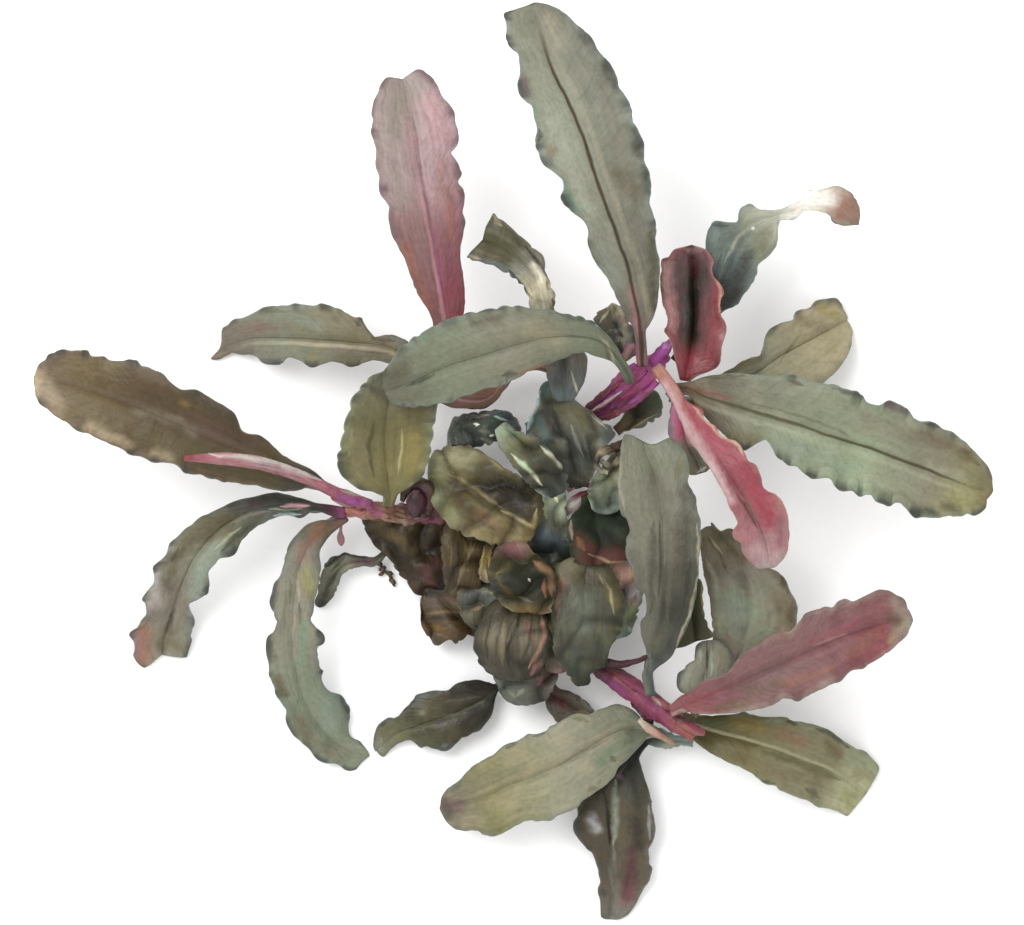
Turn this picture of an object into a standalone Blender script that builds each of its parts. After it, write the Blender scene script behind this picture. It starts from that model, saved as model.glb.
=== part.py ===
# Bucephalandra, a rhizome plant for aquariums: three leafy shoots on one creeping rhizome,
# lying on a flat surface as it was picked. Sizes in this file are millimetres, turned to metres
# by MM. The origin is under the middle of the plant, +Z points up, and the plant is seen from above.
#
# Every leaf is a loft across three lines that run from its base to its tip: the left edge, the
# midrib and the right edge. The midrib has the heights, and `lift` says how far the two edges
# stand above it where the blade is widest. `stalk` leads the lines from the rhizome to the blade,
# where the leaf's stalk is hidden in the photograph.

import math

import bmesh
import bpy
import numpy as np
from mathutils import Vector

MM = 0.001

BLADE_THICKNESS = 0.55
PETIOLE_THICKNESS = 1.5
PETIOLE_HALF_WIDTH = 0.65
TAPER_END = 0.22
TIP_CROWDING = 1.25
BIG_LEAF = {"rows": 12, "columns": 4}
MIDDLE_LEAF = {"rows": 8, "columns": 4}
SMALL_LEAF = {"rows": 7, "columns": 4}
TUBE_SIDES = 8
TUBE_STEP = 2.2
GROUND = 0.0

# Colours as the eye names them, in 0 to 255 sRGB, with a roughness.
PALETTE = {
    "grey_green": ((138, 141, 118), 0.42),
    "olive": ((128, 120, 84), 0.42),
    "brown": ((104, 86, 62), 0.45),
    "dark": ((70, 68, 55), 0.30),
    "pink": ((168, 128, 128), 0.40),
    "red": ((160, 86, 90), 0.38),
    "magenta": ((140, 78, 104), 0.35),
    "root": ((142, 112, 84), 0.60),
}

# The crown of the left shoot, whose leaves fan out to the left.
LEFT_SHOOT = {
    "leaf_left_long": {
        "color": "brown", "lift": (0.5, 0.9), "ruffle": 0.5,
        "mid": [(-22.6, -3.7, 10.2), (-25.5, -2.6, 11.4), (-29, -1.2, 12.8), (-33, 0.9, 14.2), (-38, 3, 15.4),
                (-44, 5.6, 16.0), (-50, 7.8, 15.4), (-55.5, 9.5, 14.2), (-59.9, 10.6, 13.0)],
        "left": [(-22.7, -4.3), (-25.6, -3.6), (-29.5, -3.6), (-33, -3.1), (-38, -2.3), (-41.5, -1.5),
                 (-45, 0.1), (-48.5, 1.3), (-51.5, 2.9), (-54.5, 4.1), (-57.7, 6.1), (-59.6, 8.6)],
        "right": [(-22.5, -3.1), (-25.2, -1.8), (-27.2, -0.6), (-30, 1.3), (-33, 3.6), (-35.2, 5.8), (-38, 8.1),
                  (-41, 9.3), (-43.5, 10.9), (-46.5, 12.6), (-50, 12.9), (-53.5, 14.0), (-57, 13.9),
                  (-59.4, 12.6)],
    },
    "leaf_left_arching": {
        "color": "grey_green", "lift": (-0.6, -0.4), "ruffle": 0.5,
        "mid": [(-22.2, -6.1, 8.8), (-25, -5.8, 9.8), (-29, -5.4, 11.2), (-33.5, -6.3, 11.8), (-37.5, -9, 10.8),
                (-40.5, -13, 8.4), (-42.3, -17.5, 5.4), (-43.6, -21.5, 2.4), (-44, -24.2, 0.7)],
        "left": [(-22.3, -6.7), (-25, -6.5), (-29, -6.8), (-32.6, -8.2), (-34.8, -11), (-37, -12.6),
                 (-38.3, -14.5), (-39.6, -17.4), (-40, -20.4), (-40.8, -23.2), (-41.4, -24.9)],
        "right": [(-22.1, -5.5), (-24.8, -5.1), (-29.5, -4.3), (-34, -5.0), (-37.5, -6.7), (-40.5, -8.6),
                  (-43, -10.9), (-44.8, -13.6), (-46, -16.6), (-46.6, -19.2), (-47.9, -21.9), (-47.4, -24.5),
                  (-46.0, -25.8)],
    },
    "leaf_left_drooping": {
        "color": "grey_green", "lift": (-0.5, 0.3), "ruffle": 0.5,
        "mid": [(-22.0, -7.9, 7.8), (-23.8, -9.0, 8.8), (-26, -11.2, 10.0), (-27, -15, 10.6), (-27.6, -19.5, 10.0),
                (-27.5, -24.5, 8.2), (-26.3, -29.5, 5.4), (-23.6, -34, 2.4), (-19.4, -37.3, 0.4)],
        "left": [(-21.7, -8.5), (-23.2, -9.8), (-24.1, -12.4), (-24.2, -15), (-25.1, -18.6), (-24.2, -20.8),
                 (-23.7, -22.6), (-24.4, -24), (-24.0, -27.2), (-22.4, -29.1), (-20.5, -31.0), (-20.4, -33.6),
                 (-18.0, -36.8)],
        "right": [(-22.3, -7.4), (-25, -8.4), (-27.4, -10), (-28.7, -12.6), (-29.8, -15.2), (-30.3, -18.2),
                  (-29.7, -20.2), (-30.8, -22.6), (-30.4, -26), (-29.7, -29.4), (-28.5, -31.4), (-27.6, -34),
                  (-24.6, -37.0), (-20.4, -38.5)],
    },
    "leaf_left_olive": {
        "color": "olive", "lift": (1.2, 0.8), "ruffle": 0.2,
        "stalk": [(-15.6, -5.6, 9.4)],
        "mid": [(-15.4, -3.9, 11.0), (-15.6, -2.6, 12.2), (-16, 0.6, 14.0), (-16, 4, 15.4), (-15.4, 8, 16.2),
                (-14.2, 11.6, 15.8)],
        "left": [(-16.4, -3.9), (-19.4, -3.3), (-21.9, -0.8), (-21.5, 2.4), (-20.8, 5.4), (-19.4, 9.0),
                 (-16.6, 11.8)],
        "right": [(-14.2, -3.8), (-12.0, -2.6), (-10.5, 0), (-10.2, 2.6), (-9.8, 5.2), (-9.6, 8.4), (-12.2, 11.8)],
    },
    "leaf_left_small": {
        "color": "dark", "size": SMALL_LEAF, "lift": (-0.4, 0.2), "ruffle": 0.1,
        "stalk": [(-14, -9, 2.2)],
        "mid": [(-17, -12.3, 2.4), (-19.3, -12.5, 3.0), (-21.6, -13.2, 3.0), (-23.2, -15.4, 2.2), (-24.4, -18.3, 0.6)],
        "left": [(-17.1, -12.9), (-18.6, -13.1), (-20.2, -13.4), (-21.5, -14.4), (-22.4, -16.4), (-24.1, -18.5)],
        "right": [(-16.9, -11.7), (-19.4, -11.7), (-21.4, -11.4), (-23.4, -12.5), (-24.2, -15), (-24.9, -18.1)],
    },
}

# The crown of the upper right shoot.
UPPER_SHOOT = {
    "leaf_top_tall": {
        "color": "grey_green", "lift": (0.9, 0.5), "ruffle": 0.6,
        "mid": [(16.1, 13.2, 15.6), (16.0, 17.0, 18.4), (15.2, 22, 21.2), (14, 26, 22.8), (12, 32, 24.6),
                (10, 37.5, 25.4), (8.5, 41, 25.6), (5.5, 48, 24.8), (3.6, 53, 23.4), (2.3, 57.3, 21.8)],
        "left": [(15.3, 13.2), (15.1, 17.0), (13.3, 20), (11.8, 23.2), (10, 26.2), (9.3, 29.4), (7.2, 31.4),
                 (6.0, 34.0), (4.2, 37.0), (2.8, 39.6), (2.5, 43), (0.7, 46), (0.6, 49), (-0.6, 52.5),
                 (-1.4, 55.3), (0.0, 57.2)],
        "right": [(16.9, 13.2), (17.0, 17.0), (18.2, 20.4), (18.4, 24), (17.8, 28), (17.1, 32), (16.8, 36),
                  (15.9, 40), (14.7, 44), (13, 47.4), (11.3, 51.2), (8, 55), (4.6, 57.5)],
    },
    "leaf_centre_arching": {
        "color": "grey_green", "lift": (-0.6, -0.5), "ruffle": 0.3,
        "stalk": [(14.6, 10, 13.4)],
        "mid": [(14.0, 11.4, 16.6), (12.9, 13.0, 19.0), (11.2, 14.8, 21.8), (9, 15.5, 23.6), (5, 15.6, 25.2),
                (1, 14.8, 25.6), (-4, 13.2, 24.8), (-8, 12, 23.2), (-12, 10.3, 21.2), (-16.0, 8.7, 19.2)],
        "left": [(13.5, 11.1), (12.3, 12.5), (10.2, 13.3), (8.3, 13.7), (5.2, 12.5), (2, 11.3), (-1, 9.7),
                 (-4.5, 8.8), (-8, 7.4), (-11, 7.0), (-14, 6.8), (-16.0, 7.6)],
        "right": [(14.5, 11.7), (13.3, 13.4), (11.9, 15.6), (9.8, 17.6), (6, 18.6), (2, 19.3), (-1, 19.3),
                  (-5, 18.7), (-8.5, 17.6), (-11.5, 16), (-14.4, 14), (-16, 11.4), (-16.6, 9.6)],
    },
    "leaf_right_long": {
        "color": "grey_green", "lift": (0.4, 0.8), "ruffle": 0.5,
        "stalk": [(20.2, 9.2, 13.2)],
        "mid": [(22.2, 9.2, 14.6), (24, 8.7, 15.8), (27, 7.8, 17.6), (31, 6.4, 19.4), (36, 4.6, 20.6), (41, 3.0, 20.8),
                (46, 1.5, 20.0), (52, -0.6, 18.0), (57, -2.6, 15.6), (60.0, -3.8, 14.2)],
        "left": [(22.3, 9.9), (24.2, 10.4), (27, 11.0), (30, 11), (34, 10.7), (38, 10), (42, 9), (45, 7.9),
                 (48.5, 6.6), (52, 5.2), (55.5, 3.2), (58.2, 0.6), (59.9, -2.0)],
        "right": [(22.0, 8.4), (23.0, 6.9), (24.8, 4.8), (26.8, 3.0), (28.8, 1.9), (30.8, 2.4), (33.4, 0.5),
                  (36, -1.1), (39, -2.4), (42.5, -3.8), (46, -4.8), (49.5, -6.4), (53, -7.1), (56.5, -7.2),
                  (59.4, -6.0)],
    },
    "leaf_right_twisted": {
        "color": "dark", "lift": (0.6, -0.8), "ruffle": 0.3,
        "stalk": [(20.2, 12.6, 9.6)],
        "mid": [(22.0, 15.0, 9.4), (24.4, 19.2, 10.8), (26.8, 24, 12.6), (28.6, 27.8, 14.2), (30.4, 29.9, 15.0),
                (32.6, 30.8, 15.4), (34.8, 31.3, 15.6), (37.2, 32.6, 15.4), (40, 32.6, 14.2), (42.2, 31.5, 13.0),
                (43.2, 29.7, 12.0)],
        "left": [(21.5, 15.6), (23.2, 19.6), (24.0, 24), (24.2, 28.6), (25.6, 30.3), (28.0, 30.4), (29.5, 32.3),
                 (31.2, 31.6), (33.4, 31.7), (35.8, 32.8), (37.2, 34.1), (39.6, 34.5), (41.6, 34.2), (43.3, 32),
                 (43.6, 30.0)],
        "right": [(22.5, 14.4), (26.0, 18.8), (28.2, 19.6), (29.7, 21.6), (30.4, 24.2), (32.2, 26), (33.1, 28),
                  (33.3, 29.7), (35.4, 30.2), (36.4, 31.5), (38.2, 31.5), (40.4, 30.8), (42.8, 29.2)],
    },
    "leaf_right_cupped": {
        "color": "red", "lift": (1.6, 1.6), "ruffle": 0.3,
        "mid": [(21.7, 11.4, 13.8), (22.2, 14.2, 14.4), (22.6, 18, 15.6), (22.5, 22, 17.2), (22.4, 27.2, 19.2)],
        "left": [(20.6, 12.2), (20.2, 14.6), (19.0, 17.5), (18.8, 21.5), (18.4, 24.8), (19.4, 26.8), (21.3, 27.5)],
        "right": [(22.9, 10.8), (25.6, 12.4), (26.4, 15.6), (25.8, 19), (26.4, 21.5), (26.1, 24.2), (25.2, 26.4),
                  (23.6, 27.4)],
    },
    "leaf_right_rear": {
        "color": "olive", "lift": (-0.2, 0.6), "ruffle": 0.3,
        "stalk": [(19.6, 8.2, 8.8)],
        "mid": [(22.8, 7.4, 8.8), (26, 8.6, 9.6), (30, 11, 9.4), (34, 13.6, 7.0), (38, 15.8, 3.6), (41.8, 17.8, 0.3)],
        "left": [(22.4, 8.1), (25.5, 10.6), (28.4, 12.4), (31.0, 13.6), (31.8, 16.3), (34.8, 17.8), (37.4, 19.9),
                 (40.2, 20.5), (41.8, 19.4)],
        "right": [(23.2, 6.7), (27, 6.0), (31, 7.2), (35.5, 8.6), (38.6, 9.8), (41, 12), (42.3, 14.4), (42.6, 16.9)],
    },
    "leaf_right_red": {
        "color": "red", "lift": (0.7, 0.7), "ruffle": 0.3,
        "mid": [(18.6, 11.0, 15.9), (20.6, 8.4, 18.0), (22.6, 5.6, 20.0), (25.2, 1.2, 22.0), (27.4, -2.2, 22.6),
                (29.5, -5.6, 22.0), (31.2, -9, 20.2), (32.3, -13.2, 18.0)],
        "left": [(19.2, 11.4), (21.6, 8.6), (23.2, 6.4), (25.2, 4.4), (27.9, 2.1), (30.2, -1.0), (32.6, -4.0),
                 (34.4, -7.2), (34.7, -10.4), (33.4, -13.0)],
        "right": [(18.0, 10.4), (19.8, 7.6), (21.5, 4.6), (23.2, 1.4), (24.9, -2.2), (26.7, -5.3), (27.9, -8.8),
                  (29.2, -11.8), (31.2, -13.6)],
    },
    "leaf_right_under": {
        "color": "red", "size": SMALL_LEAF, "lift": (0.3, 0.3), "ruffle": 0.1,
        "stalk": [(19.4, 9, 11.5)],
        "mid": [(20.6, 8.0, 11.6), (21.0, 5.4, 12.2), (21.8, 2.2, 12.0), (23.6, -1.4, 11.0)],
        "left": [(21.6, 8.0), (23.2, 5.2), (24.2, 2.0), (25.2, -1.0)],
        "right": [(19.8, 7.8), (19.6, 5.2), (19.6, 2.2), (22.0, -2.0)],
    },
    "leaf_top_bent": {
        "color": "brown", "lift": (0.4, -0.3), "ruffle": 0.1,
        "mid": [(6.4, 8.8, 14.6), (6.4, 12.4, 15.2), (4.2, 18.0, 15.8), (3.2, 21.4, 16.2), (2.0, 23.9, 16.6),
                (0.2, 25.9, 16.8), (-2.0, 27.1, 16.6), (-3.9, 27.8, 16.2)],
        "left": [(4.7, 8.9), (4.2, 11.6), (4.4, 14.0), (2.4, 18.2), (1.9, 20.6), (0.7, 22.5), (-1.4, 24.0),
                 (-3.8, 24.8), (-5.9, 25.6)],
        "right": [(8.2, 8.8), (9.2, 11.4), (8.8, 14.2), (5.5, 18.4), (5.2, 20.9), (4.2, 23.1), (3.9, 25.2),
                  (1.9, 27.5), (-0.3, 29.5), (-2.8, 31.3)],
    },
    "leaf_top_curled": {
        "color": "dark", "size": SMALL_LEAF, "lift": (-0.7, -0.5), "ruffle": 0.1,
        "mid": [(14.2, 14.2, 10.6), (13.4, 15.8, 11.6), (12.7, 17.6, 12.2), (12.0, 19.5, 12.0)],
        "left": [(12.8, 14.0), (11.3, 16.0), (10.2, 17.8), (11.2, 19.2)],
        "right": [(15.4, 14.8), (15.4, 16.2), (14.4, 18), (13.0, 19.9)],
    },
    "leaf_top_pink": {
        "color": "pink", "lift": (0.5, 0.5), "ruffle": 0.4,
        "stalk": [(7.8, 8.6, 8.4), (5.2, 11.4, 8.6), (2.4, 12.2, 8.8), (-0.8, 10.6, 9)],
        "mid": [(-2.6, 8.4, 9.2), (-4.8, 7.8, 9.6), (-7.4, 8.8, 10.8), (-8.2, 13, 13.2), (-8.3, 18, 15.8),
                (-9, 22, 17.6), (-10, 28, 19.8), (-11, 33, 21.0), (-12, 38, 21.4), (-12.8, 43, 21.0),
                (-13.8, 47.8, 20.2)],
        "left": [(-2.2, 7.5), (-4.7, 6.6), (-9.2, 7.6), (-9.6, 13), (-10.2, 18), (-11.9, 21), (-13.1, 24),
                 (-14.6, 27.5), (-15.6, 30), (-16.3, 33), (-17.1, 36), (-17.6, 39), (-17.9, 42), (-17.5, 44.8),
                 (-15.9, 48.2)],
        "right": [(-2.9, 9.4), (-4.5, 9.2), (-6.4, 9.8), (-7.1, 13), (-6.2, 18), (-6.0, 22), (-6.6, 26), (-6.1, 30),
                  (-6.5, 33.5), (-6.7, 37), (-7.4, 39), (-7.0, 41.6), (-7.8, 44.8), (-9.4, 47.6), (-11.9, 49.0)],
    },
    "leaf_left_upper": {
        "color": "grey_green", "lift": (-0.3, -0.3), "ruffle": 0.3,
        "stalk": [(6.4, 7.6, 5.6), (4.6, 11.6, 6), (1, 12.8, 6.6), (-4, 11.6, 7.4), (-7.6, 10.8, 8)],
        "mid": [(-10.6, 11.0, 9.0), (-12.6, 12.9, 10.2), (-15.2, 14.3, 11.0), (-18.5, 15.0, 11.2), (-24, 15.5, 9.8),
                (-29, 15.6, 7.0), (-33, 15.4, 3.6), (-37.0, 14.6, 0.4)],
        "left": [(-10.9, 10.2), (-13.1, 11.8), (-15.6, 13.2), (-18.3, 12.9), (-21, 12.0), (-25, 12.1), (-29, 12.6),
                 (-33, 13.5), (-37.4, 13.0)],
        "right": [(-10.0, 11.7), (-12.0, 13.8), (-15, 15.5), (-18.1, 16.3), (-19.8, 18.2), (-22.5, 19.3), (-25, 19.9),
                  (-29, 19.9), (-32, 19.3), (-34.5, 18.2), (-36.2, 16.2)],
    },
}

# The crown of the lower right shoot.
LOWER_SHOOT = {
    "leaf_centre_upright": {
        "color": "grey_green", "lift": (0.6, 0.8), "ruffle": 0.3,
        "mid": [(17.0, -28.0, 12.0), (16.7, -25.6, 14.4), (18.2, -20.8, 18.4), (18.9, -15, 21.0), (18.8, -9, 22.0),
                (18.0, -3, 21.8), (16.1, 2.7, 20.8)],
        "left": [(16.4, -28.3), (16.1, -25.6), (16.6, -23.0), (16.1, -20.8), (16.5, -18.4), (15.3, -16), (14.1, -12),
                 (13.4, -7), (12.9, -2), (13.3, 1.4), (13.9, 3.4)],
        "right": [(17.6, -27.7), (17.4, -25.9), (20.0, -23.4), (21.6, -20.4), (22.8, -16), (23.2, -12), (23.2, -8),
                  (22.7, -4), (22, -0.8), (20.6, 1.0), (18.2, 2.1)],
    },
    "leaf_lower_mauve": {
        "color": "pink", "lift": (0.5, 0.7), "ruffle": 0.3,
        "mid": [(20.8, -30.8, 12.2), (23.4, -29.7, 13.6), (27, -28.2, 15.2), (32, -26.0, 16.8), (37, -23.8, 18.0),
                (42, -21.6, 18.4), (46.5, -20.2, 18.2), (50.0, -19.8, 17.8)],
        "left": [(20.5, -30.0), (22.4, -28.6), (24.6, -27.1), (26.6, -26.2), (28.6, -23.9), (31.4, -22.9), (33.2, -21.5),
                 (35.6, -19.9), (37.4, -18.6), (40.6, -17.4), (42.9, -17.2), (45.8, -16.1), (48.2, -16.7),
                 (49.9, -18.9)],
        "right": [(21.2, -31.4), (24.6, -31.4), (28, -31.2), (31.4, -30.7), (35.4, -29.7), (38.6, -28.4), (41.2, -27.3),
                  (44.0, -25.6), (46.6, -24.1), (48.6, -22.2), (49.9, -20.6)],
    },
    "leaf_lower_pale": {
        "color": "olive", "lift": (-0.2, 0.2), "ruffle": 0.3,
        "mid": [(17.0, -33.8, 5.6), (14.4, -34.2, 6.8), (10, -35.7, 8.6), (6, -37.8, 9.6), (2, -40, 9.2),
                (-2, -42, 7.8), (-6, -43.3, 5.6), (-9.2, -43.4, 3.8)],
        "left": [(16.8, -34.6), (15.6, -36.2), (12.6, -39.2), (10.2, -41.4), (7.6, -43.3), (4.6, -44.9), (0.6, -45.1),
                 (-2.6, -46.7), (-6, -46.3), (-8.0, -45.4), (-9.2, -44.0)],
        "right": [(17.2, -32.8), (14.6, -31.0), (12, -30.3), (9.8, -31.4), (6, -32.1), (4.2, -34.0), (1.6, -34.4),
                  (-1.2, -35.6), (-4, -37.5), (-5.8, -39.2), (-8.4, -41.3), (-9.3, -42.8)],
    },
    "leaf_lower_dark": {
        "color": "brown", "lift": (-0.4, -0.2), "ruffle": 0.3,
        "stalk": [(17, -31.6, 4.6)],
        "mid": [(16.6, -34.6, 2.4), (15.2, -37.6, 3.8), (14, -41, 4.6), (12.9, -46, 4.0), (13.4, -50.5, 2.6),
                (13.4, -54, 1.3), (12.8, -57.2, 0.4)],
        "left": [(17.3, -34.7), (16.0, -37.8), (17.0, -41.8), (17.7, -45.5), (17.2, -48.4), (17.5, -51), (16.4, -54),
                 (14.8, -56.8)],
        "right": [(15.9, -34.4), (13.2, -37.4), (10.6, -40.3), (8.1, -43.0), (7.6, -45.6), (8.6, -47.8), (10.6, -50.2),
                  (11, -53), (10.6, -55), (11.1, -57.5)],
    },
    "leaf_lower_cut": {
        "color": "olive", "lift": (0.3, 0.3), "ruffle": 0.3,
        "stalk": [(19, -31.4, 5.2)],
        "mid": [(20.8, -32.6, 4.4), (23.4, -33.6, 5.8), (27, -34.8, 7.4), (32, -36.4, 7.6), (37, -38, 5.4),
                (41, -39.8, 2.6), (44.3, -41.3, 0.3)],
        "left": [(21.2, -31.9), (24, -31.6), (28.4, -31.4), (32, -31.9), (35, -32.3), (38.6, -33.3), (40.2, -34.2),
                 (43.4, -36.2), (46.0, -38.4)],
        "right": [(20.4, -33.3), (23.2, -35.5), (26.4, -37.2), (29, -38.4), (31.2, -39.9), (34.2, -41.5), (37.4, -42.9),
                  (42.2, -44.6)],
    },
    "leaf_lower_hidden": {
        "color": "dark", "size": SMALL_LEAF, "lift": (0.0, 0.0), "ruffle": 0.0,
        "mid": [(21.4, -35.0, 2.6), (19.9, -35.0, 2.2), (18.6, -35.1, 1.8)],
        "left": [(21.6, -35.6), (20.0, -35.8), (18.6, -35.8)],
        "right": [(21.0, -34.3), (19.8, -34.2), (18.4, -34.4)],
    },
    "leaf_right_mottled": {
        "color": "grey_green", "lift": (0.2, 0.3), "ruffle": 0.3,
        "stalk": [(22.4, -31.6, 8)],
        "mid": [(25.6, -28.4, 8.2), (27.4, -25.5, 9.6), (29.2, -21, 11.2), (29.4, -16, 12.0), (27.6, -11.6, 11.8),
                (24.8, -8.0, 11.0)],
        "left": [(24.8, -27.8), (25.0, -25), (25.0, -21), (24.4, -16.5), (23.6, -12.5), (23.1, -8.4)],
        "right": [(26.4, -29.0), (30.6, -27.2), (34.6, -23), (35.8, -19.2), (34.6, -15.4), (33.4, -13.8), (31.0, -12.2),
                  (28.6, -8.2), (26.4, -7.2)],
    },
    "leaf_right_grey": {
        "color": "grey_green", "size": SMALL_LEAF, "lift": (0.1, 0.1), "ruffle": 0.0,
        "mid": [(23.2, -29.8, 10.6), (23.9, -27.4, 11.6), (24.3, -24.8, 12.2), (24.8, -22.2, 12.6)],
        "left": [(22.4, -30.0), (20.5, -28.2), (20.6, -26.5), (22.6, -24.8), (23.0, -23), (24.2, -22.2)],
        "right": [(24.2, -29.6), (26.6, -27.2), (27.6, -25), (26.8, -23.0), (25.4, -22)],
    },
    "leaf_right_shaded": {
        "color": "dark", "size": SMALL_LEAF, "lift": (0.2, 0.2), "ruffle": 0.0,
        "mid": [(20.6, -12.6, 14.8), (21.4, -16, 15.4), (22.2, -19, 15.6), (23.0, -22.4, 15.2)],
        "left": [(21.8, -12.4), (23.7, -15.6), (23.9, -19.2), (25.3, -22.0)],
        "right": [(19.2, -13.0), (19.2, -17), (19.4, -20.6), (20.4, -23.6)],
    },
    "leaf_bottom_small": {
        "color": "dark", "size": MIDDLE_LEAF, "lift": (-0.3, 0.2), "ruffle": 0.2,
        "stalk": [(3.4, -22.6, 2.4), (1.6, -25.6, 2.2)],
        "mid": [(-1.6, -28.2, 2.4), (-4.4, -30.2, 3.2), (-8, -31.8, 3.2), (-11.5, -32.8, 2.6), (-14.5, -34, 1.6),
                (-17.2, -36.1, 0.4)],
        "left": [(-1.8, -29.4), (-2.8, -31.8), (-4.4, -33.6), (-6.6, -34.7), (-9.2, -36.2), (-11.6, -35.8),
                 (-13, -35.1), (-15.2, -36.0), (-16.7, -37.1)],
        "right": [(-2.4, -27.3), (-5.0, -27.4), (-7.4, -28), (-10.4, -28.7), (-12.4, -29.7), (-14.6, -31.9),
                  (-16.2, -32.3), (-17.8, -35.0)],
    },
    "leaf_bottom_red": {
        "color": "red", "size": SMALL_LEAF, "lift": (0.2, 0.2), "ruffle": 0.0,
        "stalk": [(5.6, -24.6, 2.4)],
        "mid": [(4.6, -28.6, 2.6), (6.8, -30.2, 2.8), (9, -32.0, 2.8), (11.4, -34.4, 2.4)],
        "left": [(5.4, -27.9), (8.1, -29.2), (10.4, -31.3), (12.2, -34.0)],
        "right": [(4.0, -29.6), (5.0, -32.0), (6.6, -33.6), (10.4, -35.2)],
    },
}

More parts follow.
